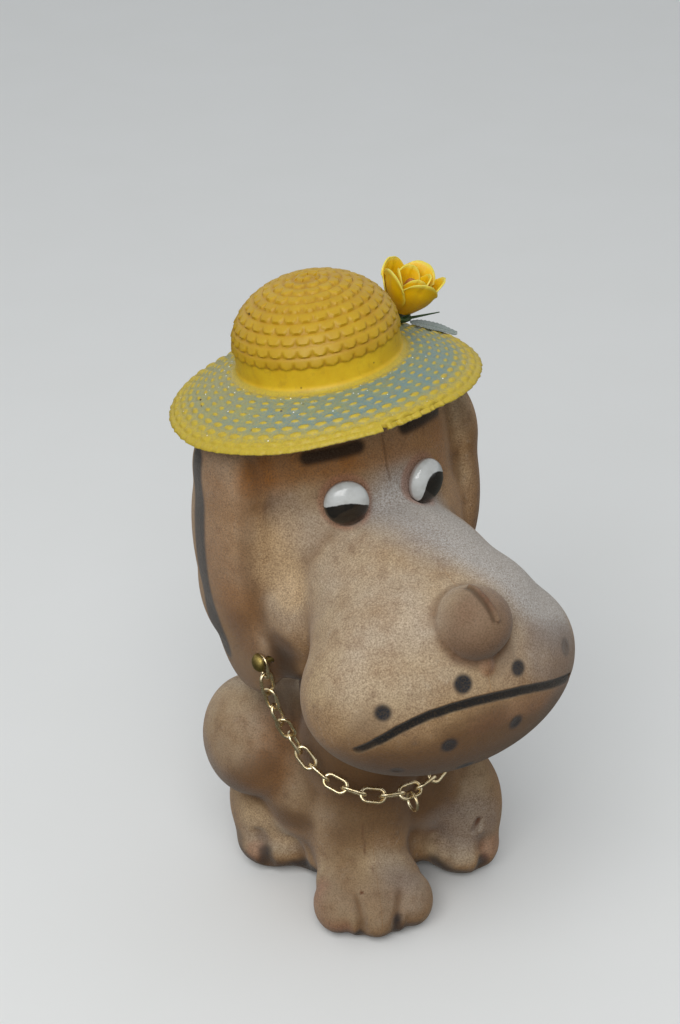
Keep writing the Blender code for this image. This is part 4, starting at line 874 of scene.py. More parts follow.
for half, node in ((body_right, "body_right_half"), (body_left, "body_left_half")):
    airbrush_and_shade(half, BODY, BODY_PAINT, body_folds)
    line_cavity(half, body_tree)
    round_off(half)
    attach(half, "body")
    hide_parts(node)
discard(body_skin, body_cavity, *cavity_limits, *body_tools)
print("body strokes:", len(BODY_PAINT))

# %% [markdown]
# ## The head
# The head is a second hollow moulding: a tall skull, a very broad muzzle and hanging ears. The round
# nose is moulded with it, and so is the little drop of flock under the nose.

# %% Clay for the head
HEAD_HOLLOW = [
    ((0, 22, 67), (41, 34, 51)),
    ((0, 13, 46), (42.5, 30, 42)),
    ((0, 7, 12), (31, 28, 11.5)),
    ((0, -26, 40), (34, 42, 28), 14),
    ((0, -39.5, 34), (41, 34, 29)),
    ((0, -46.5, 22.4), (50, 32, 33)),
    *both(((23, -1, 31), (17, 21, 21.5))),
]
EARS = [
    *both(((42, 21, 74), (9.25, 19.5, 19))),
    *both(((42, 21, 51), (9.25, 22.5, 36))),
    *both(((36, 19, 18), (8, 23.5, 29))),
    *both(((41, 27.5, 28), (7, 16.5, 21))),
]
JOWLS = both(((29.5, -3, 12.5), (6.5, 10, 8.5)))
NOSE = [((0, -65, 52), (12.5, 12.5, 11.8)), ((0, -72.4, 39.8), (2.7, 2.8, 3.6))]
head_skin = skin("head_skin", HEAD_HOLLOW + EARS + JOWLS, NOSE)
head_cavity = hollow("head_cavity", HEAD_HOLLOW)
for item in (head_skin, head_cavity):
    item.data.transform(HEAD)
print("head skin:", len(head_skin.data.polygons), "faces")

# %% [markdown]
# ## Mouth, whisker spots and the mould line on the nose
# The mouth is a shallow crease that was sprayed black. The nose shows the join of the mould as a
# rough raised line. These need a finer grain than the rest, so the faces there are cut up first.

# %% Carve the face
MOUTH = [
    (-41.2, -63, 15.6), (-36.3, -67.8, 20.8), (-31, -70.9, 25.1), (-26.3, -72.8, 27.6),
    (-21.3, -74.1, 29.4), (-14.1, -75.7, 30.6), (-6.6, -76.7, 30.9), (1.7, -77.3, 30.3),
    (11.1, -76.5, 28.8), (18, -75.4, 27), (24, -73.9, 24.9), (31, -71.2, 22.4),
    (37, -67.4, 19.6), (41, -63.6, 16.8),
]
# Each whisker spot has a place, a radius and a strength.
SPOTS = [
    ((-34.5, -67.5, 30.8), 2, 0.92), ((-9.3, -74.2, 37), 2.4, 0.95), ((11.5, -74.3, 36.1), 2, 0.92),
    ((35.6, -66.4, 31.5), 2.4, 0.45), ((-15, -76, 16.7), 2.1, 0.9), ((9.6, -77.2, 17.5), 1.9, 0.9),
    ((-4.9, -70, 1.5), 2.4, 0.9), ((-28.6, -67, 5.6), 1.6, 0.65),
]
FOREHEAD_SEAM = [(0.6, -7.6, 92), (0.9, -10.2, 81.8), (1.7, -10.9, 77.4), (1.6, -14, 72)]
NOSE_LINE = [
    (0.2, -62.2, 63.6), (0.8, -64.6, 63.9), (0.8, -68.1, 63.6), (1.1, -71.1, 62.5),
    (1.6, -73.3, 60.6), (1.9, -75.1, 58),
]
LIP_FOLD = [(x, y - 0.3, z - 5) for x, y, z in MOUTH[4:10]]
face_lines = [MOUTH, NOSE_LINE, FOREHEAD_SEAM] + [[place] for place, _, _ in SPOTS]
refined = refine(head_skin, HEAD, face_lines, 4.4)
carve(head_skin, HEAD, [(MOUTH, 0.5, 1.3, 1), (LIP_FOLD, 1, 4, 0.25)], 0.95)
carve(head_skin, HEAD, [(FOREHEAD_SEAM, 0.1, 0.6, 1)], 0.16)
carve(head_skin, HEAD, [([place], 0.8, 1.2, 1) for place, _, _ in SPOTS], 0.25)
carve(head_skin, HEAD, [(NOSE_LINE, 0.5, 0.8, 1)], -0.9)
carve(head_skin, HEAD, [(NOSE_LINE, 0.02, 0.4, 1)], 0.9)
print("face:", refined, "faces refined,", len(SPOTS), "spots")

# %% [markdown]
# ## Eye seats and the neck spigot
# Each eye is pressed onto a flat round seat with a shank hole. Under the jaw a collar rests on the
# neck's rim, and a spigot goes through it with a flange below, so the head turns and stays on.

# %% Saw and drill the head
EYE_RADIUS = 7.6
EYE_PLACE = (14.9, -10.5, 73)
EYE_TURN_OUT = math.radians(18)
EYE_LEAN = math.radians(85)
SHANK_RADIUS = 3
SHANK_LENGTH = 4
STUD_PLACE = (42, -1.5, 14)
NAIL_RADIUS = 1
NAIL_LENGTH = 6
FIT = 0.3
SPIGOT_BORE = 11


def on_side(side, place):
    """The head's frame, moved to a place on its right side (-1) or its left side (1)."""
    x, y, z = place
    return HEAD @ Matrix.Translation(Vector((side * x, y, z)) * MM)


def eye_seat(side):
    """An eye's frame: on the face, with its own Z facing out."""
    turn = Matrix.Rotation(side * EYE_TURN_OUT, 4, "Z")
    return on_side(side, EYE_PLACE) @ turn @ Matrix.Rotation(EYE_LEAN, 4, "X")


def stud_seat(side):
    """An ear stud's frame, with its own Z pointing out of the ear."""
    return on_side(side, STUD_PLACE) @ Matrix.Rotation(side * math.radians(90), 4, "Y")


SPIGOT = [
    (0, 12), (19.5, 12), (19.5, 0.3), (14.2, 0.3), (14.2, -2.8), (17, -2.8), (17, -5.2), (0, -5.2),
]
spigot = shifted(turned("spigot", SPIGOT, ROD_STEPS), HEAD)
head_tools = [shifted(rod(SPIGOT_BORE, -15.2, 24), HEAD)]
for side in (-1, 1):
    head_tools.append(shifted(rod(EYE_RADIUS + FIT, -FIT, 20), eye_seat(side)))
    head_tools.append(shifted(rod(SHANK_RADIUS + FIT, -SHANK_LENGTH - FIT, 1), eye_seat(side)))
    head_tools.append(shifted(rod(NAIL_RADIUS + FIT, -NAIL_LENGTH - FIT, 4), stud_seat(side)))
head_folds = creases(head_skin, FOLD_RUBS)
cut(head_skin, head_cavity)
cut(head_skin, spigot, "UNION")
apply_modifiers(head_skin)
head_right = glued_half("head_right", head_skin, HEAD, -1, head_tools)
head_left = glued_half("head_left", head_skin, HEAD, 1, head_tools)
print("head halves:", len(head_right.data.polygons), len(head_left.data.polygons), "faces")

# %% [markdown]
# ## Sprayed markings and painted shade on the head
# Black brows and mouth, blue-black whisker spots, a blue-black line down the back edge of each ear,
# and warm orange under the hat. Painted shade darkens the folds by the ears, the jaw, the crease
# under the nose and one side of its mould line, and it mixes with brown paint under the cheeks.

# %% Airbrush the head and paint its shade
EAR_EDGE = [
    (-49, 27.4, 80), (-50.2, 26.6, 72), (-51.2, 26, 58), (-51, 25.4, 43), (-48.5, 25.4, 25),
    (-45, 25.4, 14), (-42, 24.8, 6),
]
EAR_FOLD = [
    (-41, 5, 88), (-43, 3.8, 78), (-45.4, 1.6, 62), (-46, 1.4, 50), (-43, 1, 35), (-40, 0, 24),
]
BROW = [(-24.2, -1.4, 87.4), (-17.5, -4.8, 88.8), (-13.1, -6.3, 89.5), (-8.6, -7.3, 90.2)]
LEFT_BROW = [(10, -6.4, 92.2), (16.3, -4.4, 92), (22, -1.6, 91.6), (28, 2.6, 90.4)]
HEAD_PAINT = [
    (PALE_GREY, [(6, -14, 66), (10, -26, 66), (22, -44, 60), (29, -54, 50), (34, -56, 44)], 8, 14, 0.9),
    (CREAM, [(-36, -4, 64), (-38, -1.5, 52), (-35, -8, 44)], 4, 7, 0.55),
    (GREY, [(-30, 2, 70), (-26, -4, 60)], 3, 8, 0.25),
    (BROWN, [(-10, -8, 84), (6, -10, 82)], 3, 8, 0.22),
    (GREY, [(24, -70, 34), (36, -64, 26), (30, -68, 12)], 5, 9, 0.45),
    (BROWN, [(22, -66, 40), (34, -64, 36)], 2, 6, 0.28),
    (GREY, [(-4, -18, 68), (0, -40, 68)], 4, 9, 0.25),
    (ORANGE, [(-40, 2, 84), (-34, 4, 83), (-28, -2, 87), (-16, -8, 87)], 3.5, 8, 0.7),
    (ORANGE, [(-8, -9, 88), (10, -9, 88), (24, -2, 86)], 3, 6, 0.42),
    (ORANGE, [(26, -4, 72), (28, -2, 84)], 2, 6, 0.3),
    # Painted shade on the right cheek by the ear, and in the creases between the ears and the cheeks.
    (BROWN, [(-28, -7, 82), (-36, -4, 70), (-38, -6, 58)], 4, 10, 0.12),
    (BROWN, EAR_FOLD, 1, 4, 0.42),
    (BROWN, mirrored(EAR_FOLD), 1, 4, 0.42),
    (ORANGE, [(-50, 14, 84), (-52, 16, 60), (-50, 14, 34)], 8, 12, 0.3),
    (BROWN, [(-44, 8, 12), (-40, 16, 0), (-36, 24, -6)], 4, 9, 0.42),
    (ORANGE, [(-46, 8, 36), (-44, 8, 18)], 3, 8, 0.3),
    (BROWN, [(-46, 9, 26), (-43, 8, 16)], 3, 7, 0.25),
    # Brown paint and painted shade under the cheeks, round the studs.
    (BROWN, [(-36, -6, 22), (-34, -4, 10), (-30, -8, 4)], 3.5, 5.5, 0.85),
    (DEEP_BROWN, [(-34.5, -4.5, 18), (-33.5, -5, 12), (-30, -8, 4)], 2, 5, 0.7),
    (BROWN, [(36, -6, 22), (34, -4, 10), (30, -8, 4)], 3.5, 5.5, 0.85),
    # Painted shade under the jaw and across the lower jaw.
    (BROWN, [(-44, -56, 0), (-24, -66, -2), (0, -68, -4), (24, -66, -2), (44, -56, 0)], 4, 15, 0.75),
    (BROWN, [(-30, -66, 10), (0, -76, 14), (30, -66, 12)], 5, 10, 0.68),
    (PINK, [(-6, -77, 22), (8, -77, 23), (22, -74, 20)], 1.5, 4, 0.2),
    (BROWN, [(-38, -66, 26), (-43, -60, 12)], 2, 7, 0.32),
    (BROWN, [(-15, -77, 21.5), (-8, -77.5, 22.9), (2, -77.5, 24)], 1.5, 5, 0.45),
    (BROWN, [(32, -70, 28), (40, -64, 30)], 3, 8, 0.28),
    (NOSE_BROWN, [(0, -70, 53)], 10.5, 5, 0.75),
    # Painted shade in the crease under the nose.
    (BROWN, [(-11, -64, 44), (-6, -68, 41), (6, -68, 41), (11, -64, 44)], 0.8, 2.6, 0.75),
    (BROWN, [(2, -75.5, 40), (8, -72, 42)], 2, 4, 0.32),
    # Painted shadow along the left side of the nose's mould line.
    (DEEP_BROWN, [(x - 1.5, y, z) for x, y, z in NOSE_LINE], 0.3, 1.1, 0.55),
    (SCAR, NOSE_LINE, 0.5, 0.9, 0.65),
    (BLACK, NOSE_LINE, 0.1, 0.4, 0.8),
    (BROWN, FOREHEAD_SEAM, 0.15, 0.6, 0.45),
    (PINK, [(0, -73.6, 39.8)], 2, 1.6, 0.3),
    (BLUE_BLACK, EAR_EDGE, 3.4, 2.8, 0.95),
    (BLUE_BLACK, mirrored(EAR_EDGE), 3.4, 2.8, 0.95),
    (BLACK, BROW, 1.3, 2.4, 0.88),
    (BLACK, LEFT_BROW, 1.5, 2.4, 0.88),
    (BLACK, MOUTH[1:-1], 1.1, 1, 0.98),
    (BLACK, MOUTH, 0.95, 0.9, 0.95),
]
for place, radius, strength in SPOTS:
    HEAD_PAINT.append((BLUE_BLACK, [place], radius - 0.2, 1.9, strength))
for side in (-1, 1):
    seat_centre = in_frame(np.array([eye_seat(side).translation]), HEAD)[0]
    HEAD_PAINT.insert(8, (PINK, [tuple(seat_centre)], 8.4, 1.8, 0.55))
head_tree = tree_of(head_cavity)
for half, node in ((head_right, "head_right_half"), (head_left, "head_left_half")):
    airbrush_and_shade(half, HEAD, HEAD_PAINT, head_folds)
    line_cavity(half, head_tree)
    round_off(half)
    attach(half, "head")
    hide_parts(node)
discard(head_skin, head_cavity, spigot, *head_tools)
print("head strokes:", len(HEAD_PAINT))

# %% [markdown]
# ## The eyes
# Each eye is a shallow glossy dome, white above and nearly black below, with an arched edge between.
# The dome is spun from its section. The paint's edge stays sharp at any size, because the material
# measures it in the eye's own frame with a Mapping node.

# %% Spin and paint the eyes
EYE_STEPS = 72
DOME_STEPS = 14
EYE_EDGE = 1.2
EYE_TOP = 5.4


def eye_profile():
    """The dome, its edge, the flat back and the shank."""
    rows = []
    for step in range(DOME_STEPS + 1):
        angle = math.radians(90) * step / DOME_STEPS
        height = EYE_EDGE + (EYE_TOP - EYE_EDGE) * math.cos(angle)
        rows.append((EYE_RADIUS * math.sin(angle), height))
    shank = [(SHANK_RADIUS, 0), (SHANK_RADIUS, -SHANK_LENGTH), (0, -SHANK_LENGTH)]
    return rows + [(EYE_RADIUS, 0.25), (EYE_RADIUS - 0.25, 0)] + shank


def eye_finish(name, seat, roll, rise, arched):
    """White over black-brown, parted by an arch that is rolled to one side and raised."""
    gloss = Finish(name, 0.16, Coat_Weight=0.5, Coat_Roughness=0.06)
    placed = gloss.add("ShaderNodeMapping", vector_type="TEXTURE")
    turned_seat = seat @ Matrix.Rotation(roll, 4, "Z")
    gloss.feed(placed.inputs["Vector"], gloss.place)
    placed.inputs["Location"].default_value = turned_seat.translation
    placed.inputs["Rotation"].default_value = turned_seat.to_euler()
    split = gloss.add("ShaderNodeSeparateXYZ")
    gloss.feed(split.inputs[0], placed.outputs["Vector"])
    across = gloss.maths("MULTIPLY", split.outputs[0], split.outputs[0])
    arch = gloss.maths("ADD", split.outputs[1], gloss.maths("MULTIPLY", across, arched))
    wobble = gloss.ranged(gloss.noise(1.6), 0.3, 0.7, -0.12 * MM, 0.12 * MM)
    edge = gloss.maths("ADD", arch, wobble)
    dark = gloss.ranged(edge, rise * MM, (rise - 0.35) * MM)
    yellowed = gloss.ranged(gloss.noise(2.5, 4), 0.45, 0.75)
    white = gloss.mix(yellowed, colour(200, 202, 200), colour(188, 189, 186))
    dusty = gloss.ranged(gloss.noise(2, 3), 0.4, 0.7)
    pupil = gloss.mix(dusty, colour(22, 18, 15), colour(32, 26, 21))
    rim = gloss.ranged(split.outputs[2], 1.7 * MM, 0.9 * MM, 0, 0.55)
    whole = gloss.mix(dark, white, pupil)
    gloss.colours(gloss.mix(rim, whole, colour(120, 88, 74)))
    gloss.rough(gloss.ranged(gloss.noise(0.9, 3), 0.35, 0.75, 0.12, 0.3))
    gloss.bump(gloss.noise(0.8, 2), 0.02, 0.5)
    return gloss.material


EYE_PAINT = {
    "right_eye": {"roll": math.radians(-3), "rise": 1.7, "arched": 38},
    "left_eye": {"roll": math.radians(24), "rise": 3.8, "arched": 130},
}
NIB_RADII = (0.55, 0.8, 0.7)
for node, side in (("right_eye", -1), ("left_eye", 1)):
    seat = eye_seat(side)
    eye = turned(node + "_dome", eye_profile(), EYE_STEPS)
    nib = ball((0, EYE_RADIUS - 0.7, 1.4), NIB_RADII)
    settle(nib)
    eye = joined(node + "_dome", [nib, eye])
    eye.data.transform(seat)
    coat(eye, eye_finish(node + "_paint", seat, **EYE_PAINT[node]))
    round_off(eye, 50)
    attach(eye, "head")
    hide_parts(node)
print("eyes:", len(eye.data.polygons), "faces each")

# %% [markdown]
# ## Brass studs, the chain and its ring
# Two dull brass nails pin the chain to the ears. The chain has 25 oval wire links. One link is
# modelled from a torus whose two ends are pulled apart, and then copied to each CAD link's place.
# That place comes from the CAD link's own points: its longest, middle and shortest directions.

# %% The metals
def metal_finish(name, bright, dull, stain, roughness):
    """Worn metal: bright and dull in clouds, with stained patches."""
    metal = Finish(name, roughness, Metallic=1)
    cloud = metal.noise(1.8, 4, 0.6)
    grime = metal.noise(0.7, 4, 0.7)
    base = metal.mix(metal.ranged(cloud, 0.35, 0.7), bright, dull)
    metal.colours(metal.mix(metal.ranged(grime, 0.56, 0.72, 0, 0.7), base, stain))
    metal.rough(metal.ranged(grime, 0.3, 0.75, roughness - 0.08, roughness + 0.25))
    metal.bump(grime, 0.04, 0.6)
    return metal.material


GILT = metal_finish(
    "gilt_wire", colour(238, 224, 190), colour(208, 184, 134), colour(124, 98, 54), 0.22
)
OLD_BRASS = metal_finish(
    "old_brass", colour(150, 132, 76), colour(112, 98, 56), colour(60, 52, 30), 0.42
)
print("metals:", GILT.name, OLD_BRASS.name)

# %% Studs
STUD_RADIUS = 3.3
STUD_DOME = 2.4
STUD_PROFILE = [
    (STUD_RADIUS * math.sin(math.radians(a)), 1.35 + STUD_DOME * math.cos(math.radians(a)))
    for a in range(0, 91, 9)
] + [
    (STUD_RADIUS, 1.1), (3.1, 0.95), (NAIL_RADIUS, 0.95), (NAIL_RADIUS, -5.4), (0, -NAIL_LENGTH),
]
for node, side in (("right_ear_stud", -1), ("left_ear_stud", 1)):
    stud = turned(node + "_nail", STUD_PROFILE, 40)
    stud.data.transform(stud_seat(side))
    coat(stud, OLD_BRASS)
    round_off(stud)
    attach(stud, "head")
    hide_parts(node)
print("studs:", len(stud.data.polygons), "faces each")

# %% One link, then the chain
WIRE_RADIUS = 0.65
LINK_END_RADIUS = 2.35
LINK_PULL = 1.9
RING_RADIUS = 3.4
RING_WIRE = 0.55


def wire_ring(name, radius, wire, pull):
    """A closed ring of round wire, pulled apart along X into an oval."""
    bpy.ops.mesh.primitive_torus_add(
        major_segments=40, minor_segments=12, major_radius=radius * MM, minor_radius=wire * MM
    )
    item = bpy.context.object
    item.name = name
    places = points_of(item)
    places[:, 0] += np.where(places[:, 0] >= 0, pull, -pull) * MM
    move_points(item, places)
    return item


def cad_frame(node):
    """A link's frame, from the spread of its CAD points: X along it, Z across its flat side."""
    places = np.array([v.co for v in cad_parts[node].data.vertices])
    centre = places.mean(0)
    _, _, axes = np.linalg.svd(places - centre)
    x, y, z = axes[0], axes[1], np.cross(axes[0], axes[1])
    middle = sum(axis * ((places @ axis).max() + (places @ axis).min()) / 2 for axis in (x, y, z))
    matrix = np.eye(4)
    matrix[:3, 0], matrix[:3, 1], matrix[:3, 2], matrix[:3, 3] = x, y, z, middle
    return Matrix(matrix.tolist())


link_pattern = wire_ring("link_pattern", LINK_END_RADIUS, WIRE_RADIUS, LINK_PULL)
coat(link_pattern, GILT)
round_off(link_pattern, 60)
links = sorted(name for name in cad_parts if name.startswith("chain_link_"))
for node in links:
    link = copy_of(link_pattern, node.replace("chain_link", "gilt_link"))
    link.data.transform(cad_frame(node))
    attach(link, "chain")
    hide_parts(node)
discard(link_pattern)
ring = wire_ring("gilt_ring", RING_RADIUS, RING_WIRE, 0)
coat(ring, GILT)
round_off(ring, 60)
ring.data.transform(cad_frame("jump_ring"))
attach(ring, "ring")
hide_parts("jump_ring")
print("chain:", len(links), "links")

# %% [markdown]
# ## The stopper
# A soft rubber stopper closes the hole in the base. It is spun from its section: a lip that stays in
# the recess, a grooved plug that grips the hole, and a hollow on the inside that lets it flex.

# %% Spin the stopper
def rubber_finish():
    """Dull black rubber with dust in its pores."""
    rubber = Finish("stopper_rubber", 0.62, Specular_IOR_Level=0.35)
    dust = rubber.noise(1.4, 4, 0.65)
    dusty = rubber.ranged(dust, 0.5, 0.75)
    rubber.colours(rubber.mix(dusty, colour(62, 58, 55), colour(112, 102, 88)))
    rubber.rough(rubber.ranged(dust, 0.3, 0.7, 0.5, 0.85))
    rubber.bump(dust, 0.06, 0.7)
    return rubber.material


STOPPER_PROFILE = [
    (0, 5.5), (10.9, 5.5), (11.4, 5.9), (11.6, 8.2), (12, 8.5), (13.3, 8.5), (13.9, 8.2), (14.4, 7.1),
    (14.5, 6.4), (14, 6.1), (14, 5.7), (14.5, 5.4), (14.5, 4.6), (14, 4.3), (14, 3.9), (14.5, 3.6),
    (14.5, 1.9), (14.7, 1.7), (16.7, 1.7), (17, 1.45), (17, 0.6), (16.7, 0.3), (12.6, 0.3),
    (12.2, 0.75), (11.6, 0.75), (11.2, 0.3), (4.2, 0.3), (3.8, 0.9), (0, 0.9),
]
stopper = turned("rubber_stopper", STOPPER_PROFILE, ROD_STEPS)
stopper.data.transform(BODY @ Matrix.Translation((0, STOPPER_Y * MM, 0)))
coat(stopper, rubber_finish())
round_off(stopper, 35)
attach(stopper, "stopper")
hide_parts("base_stopper")
print("stopper:", len(stopper.data.polygons), "faces")

# %% [markdown]
# ## The sun hat
# The hat is one soft plastic moulding that copies plaited straw. The crown carries rows of round
# scales, the band is plain, and the brim has rings of short dashes. The section is spun into a fine
# mesh, a weight is worked out for every point from where it lies in the weave, and a Displace
# modifier raises the scales and dashes by that weight, so that they are real relief.

# %% The hat's section
HAT_STEPS = 480
CROWN_STEPS = 66
BRIM_STEPS = 58
CROWN_RADIUS = 28
CROWN_HEIGHT = 28.55
CROWN_RISE = 21
BAND = 8
BRIM_RADIUS = 53
BRIM_DROP = 11
BRIM_LIFT = 4.4
LIFT_HEADING = math.radians(-94)
HAT_WALL = 1.4
RELIEF = 0.85
SUNK = 0.35


def brim_share(radius):
    """0 at the crown, 1 at the rim."""
    return np.clip((radius - CROWN_RADIUS) / (BRIM_RADIUS - CROWN_RADIUS), 0, 1)


def brim_height(radius):
    """How high the brim's upper side is at a distance from the axis."""
    share = brim_share(radius)
    return -BRIM_DROP * (0.55 * share + 0.45 * share * share)


def brim_lift(x, y):
    """How far the brim is bent up, most at the dog's forehead."""
    facing = np.cos(np.arctan2(y, x) - LIFT_HEADING)
    return BRIM_LIFT * brim_share(np.hypot(x, y)) * np.maximum(0, facing) ** 2


def dome(share, radius, top):
    """A point of the crown's quarter ellipse."""
    angle = math.radians(90) * share
    return (radius * math.sin(angle), BAND + (top - BAND) * math.cos(angle))


def hat_section():
    """The outer side from the top down, round the rim, and back up inside."""
    outer = [
        dome(s / CROWN_STEPS, CROWN_RADIUS - SUNK, CROWN_HEIGHT - SUNK) for s in range(CROWN_STEPS + 1)
    ]
    outer += [(CROWN_RADIUS - SUNK, BAND - 0.5 * s) for s in range(1, 14)]
    outer += [(CROWN_RADIUS - SUNK + 0.25, 0.9), (CROWN_RADIUS + 0.3, 0.15)]
    for step in range(BRIM_STEPS + 1):
        radius = CROWN_RADIUS + 1.2 + (BRIM_RADIUS - 1.6 - CROWN_RADIUS) * step / BRIM_STEPS
        outer.append((radius, float(brim_height(radius)) - SUNK))
    edge = float(brim_height(BRIM_RADIUS))
    outer += [(BRIM_RADIUS - 0.1, edge - 0.45), (BRIM_RADIUS, edge - 0.8)]
    outer += [(BRIM_RADIUS - 0.15, edge - 1.2)]
    under = [BRIM_RADIUS - 0.6 - (BRIM_RADIUS - 0.6 - CROWN_RADIUS) * s / 14 for s in range(15)]
    outer += [(radius, float(brim_height(radius)) - HAT_WALL) for radius in under]
    outer += [(CROWN_RADIUS - HAT_WALL, -0.6)]
    outer += [(CROWN_RADIUS - HAT_WALL, BAND * s / 3) for s in range(1, 3)]
    return outer + [
        dome(1 - s / 20, CROWN_RADIUS - HAT_WALL, CROWN_HEIGHT - HAT_WALL) for s in range(21)
    ]


hat = turned("straw_hat", hat_section(), HAT_STEPS)
print("hat blank:", len(hat.data.polygons), "faces")

# %% The crown's scales: where each point lies in their rows
CROWN_ROWS = 10
SCALE_WIDTH = 5
CURL_RADIUS = 4.6
OUTER_SHARE = 0.955
places = points_of(hat) / MM
radius = np.hypot(places[:, 0], places[:, 1])
heading = np.arctan2(places[:, 1], places[:, 0])
height = places[:, 2]

dome_height = (height - BAND) / (CROWN_HEIGHT - SUNK - BAND)
dome_angle = np.arctan2(radius / (CROWN_RADIUS - SUNK), dome_height)
steps_along = np.linspace(0, math.pi / 2, 200)
slope = np.hypot(CROWN_RADIUS * np.cos(steps_along), CROWN_RISE * np.sin(steps_along))
arc = np.concatenate([[0], np.cumsum(slope[:-1] * (math.pi / 2 / 199))])
above_band = np.maximum(height - BAND, 0)
outside = np.hypot(radius / CROWN_RADIUS, above_band / CROWN_RISE) > OUTER_SHARE
on_dome = (height > BAND - 2.6) & outside
arc_on_dome = np.interp(dome_angle, steps_along, arc)
arc_here = np.where(height > BAND, arc_on_dome, arc[-1] + (BAND - height))
row_pitch = (arc[-1] + 0.6) / CROWN_ROWS
row = np.floor(arc_here / row_pitch)
within = arc_here / row_pitch - row
row_radius = np.interp((row + 0.6) * row_pitch, arc, CROWN_RADIUS * np.sin(steps_along))
lobes = np.maximum(4, np.round(2 * math.pi * row_radius / SCALE_WIDTH))
across = heading / (2 * math.pi) * lobes + 0.5 * (row % 2) + 0.17 * row
across = across - np.floor(across) - 0.5
lobe_edge = 0.5 + 0.46 * np.sqrt(np.maximum(0, 1 - (2 * across) ** 2))
on_scale = smooth_step((lobe_edge - within) / 0.13) * smooth_step(within / 0.1)
between = 1 - 0.75 * smooth_step((np.abs(across) - 0.3) / 0.2) * smooth_step((within - 0.25) / 0.3)
scales = on_scale * (0.3 + 0.7 * within) * between
scales = np.where(on_dome & (row < CROWN_ROWS), scales, 0)
curl = (np.cos(heading + radius * 1.5) > 0.1) * smooth_step((CURL_RADIUS - radius) / 0.8)
scales = np.where(on_dome & (radius < CURL_RADIUS) & (height > BAND), 0.75 * curl, scales)
print("scales: relief on", int((scales > 0.2).sum()), "points")

# %% The brim's dashes and the rope at its rim
BRIM_ROWS = 8
DASH_PITCH = 5.5
DASH_RELIEF = 0.72
PLAIN_EDGE = 1.6
ROPE_TWISTS = 170
on_brim = (radius > CROWN_RADIUS + 1) & (height > brim_height(radius) - 0.62 * HAT_WALL)
woven_width = BRIM_RADIUS - CROWN_RADIUS - 2 * PLAIN_EDGE
ring_value = (radius - CROWN_RADIUS - PLAIN_EDGE) / woven_width * BRIM_ROWS
ring_row = np.floor(ring_value)
in_ring = ring_value - ring_row - 0.5
ring_radius = CROWN_RADIUS + PLAIN_EDGE + (ring_row + 0.5) * woven_width / BRIM_ROWS
dashes = np.round(2 * math.pi * ring_radius / DASH_PITCH)
along = heading / (2 * math.pi) * dashes + 0.5 * (ring_row % 2)
along = along - np.floor(along) - 0.5
outer_rows = ring_row >= BRIM_ROWS - 3
long_half = np.where(outer_rows, 0.38, 0.27)
wide_half = np.where(outer_rows, 0.33, 0.25)
dash = np.sqrt(np.maximum(0, 1 - (along / long_half) ** 2 - (in_ring / wide_half) ** 2))
dash = np.where(on_brim & (ring_row >= 0) & (ring_row < BRIM_ROWS), DASH_RELIEF * dash, 0)
rope = np.where(on_brim & (ring_row >= BRIM_ROWS), 0.3 + 0.08 * np.cos(heading * ROPE_TWISTS), 0)
weave = np.maximum(np.maximum(scales, dash), rope)
print("weave: relief on", int((weave > 0.2).sum()), "points")

# %% [markdown]
# ## Spray and wear on the hat
# The brim was sprayed blue-grey between the crown and the rim, which left the raised dashes yellow.
# The amounts are stored as attributes, so that the material can mix them with noise and glitter.

# %% Raise the weave and store the spray
SPRAY_INNER = 28.6
SPRAY_OUTER = 51
SPRAY_HEADING = math.radians(-60)
middle_zone = smooth_step((radius - SPRAY_INNER) / 3) * smooth_step((SPRAY_OUTER - radius) / 8)
thin_side = 0.78 + 0.22 * np.cos(heading - SPRAY_HEADING)
store(hat, "spray", np.where(on_brim, middle_zone * thin_side, 0))
store(hat, "weave", weave)
on_band = (height < BAND - 0.3) & (height > -0.5) & (radius > 27) & (radius < 29)
store(hat, "band", np.where(on_band, 1 - smooth_step(weave * 4), 0))
store(hat, "crown", (height > 0.5) & (radius < 28.5))
under_brim = (radius > CROWN_RADIUS) & (height < brim_height(radius) - 0.6 * HAT_WALL)
in_crown = (np.hypot(radius / 27, above_band / 20) < 0.995) & (radius < 27.2)
store(hat, "under", under_brim | in_crown)
group = hat.vertex_groups.new(name="weave")
for index in np.nonzero(weave > 0.002)[0]:
    group.add([int(index)], float(weave[index]), "REPLACE")
raise_weave = hat.modifiers.new("raised weave", "DISPLACE")
raise_weave.vertex_group = "weave"
raise_weave.mid_level = 0
raise_weave.strength = RELIEF * MM
apply_modifiers(hat)
hat.vertex_groups.clear()
print("sprayed:", int((on_brim & (middle_zone > 0.5)).sum()), "points")

# %% Bend the brim, roughen its edge and nick it
places = points_of(hat) / MM
radius = np.hypot(places[:, 0], places[:, 1])
heading = np.arctan2(places[:, 1], places[:, 0])
TORN_FROM = math.radians(-97)
TORN_TO = math.radians(-66)
NICK_HEADING = math.radians(-97.5)
at_edge = smooth_step((radius - 50.5) / 2)
torn = smooth_step((heading - TORN_FROM) / 0.01) * smooth_step((TORN_TO - heading) / 0.12)
ragged = 0.14 * np.sin(61 * heading) + 0.1 * np.sin(97 * heading + 1.3)
ragged += 0.08 * np.sin(171 * heading + 0.4)
shrink = at_edge * (0.45 + ragged * (1 + 1.2 * torn) + torn)
places[:, :2] *= ((radius - shrink) / np.maximum(radius, 1e-9))[:, None]
places[:, 2] += brim_lift(places[:, 0], places[:, 1])
places[:, 2] += at_edge * 0.18 * np.sin(9 * heading + 0.6)
move_points(hat, places * MM)
FLOWER_OUT = 39.2
FLOWER_HEADING = math.radians(18)
FLOWER_TURN = math.radians(-38)
FLOWER_LEAN = math.radians(20)
FLOWER_FLAT = Vector((math.cos(FLOWER_HEADING), math.sin(FLOWER_HEADING))) * FLOWER_OUT
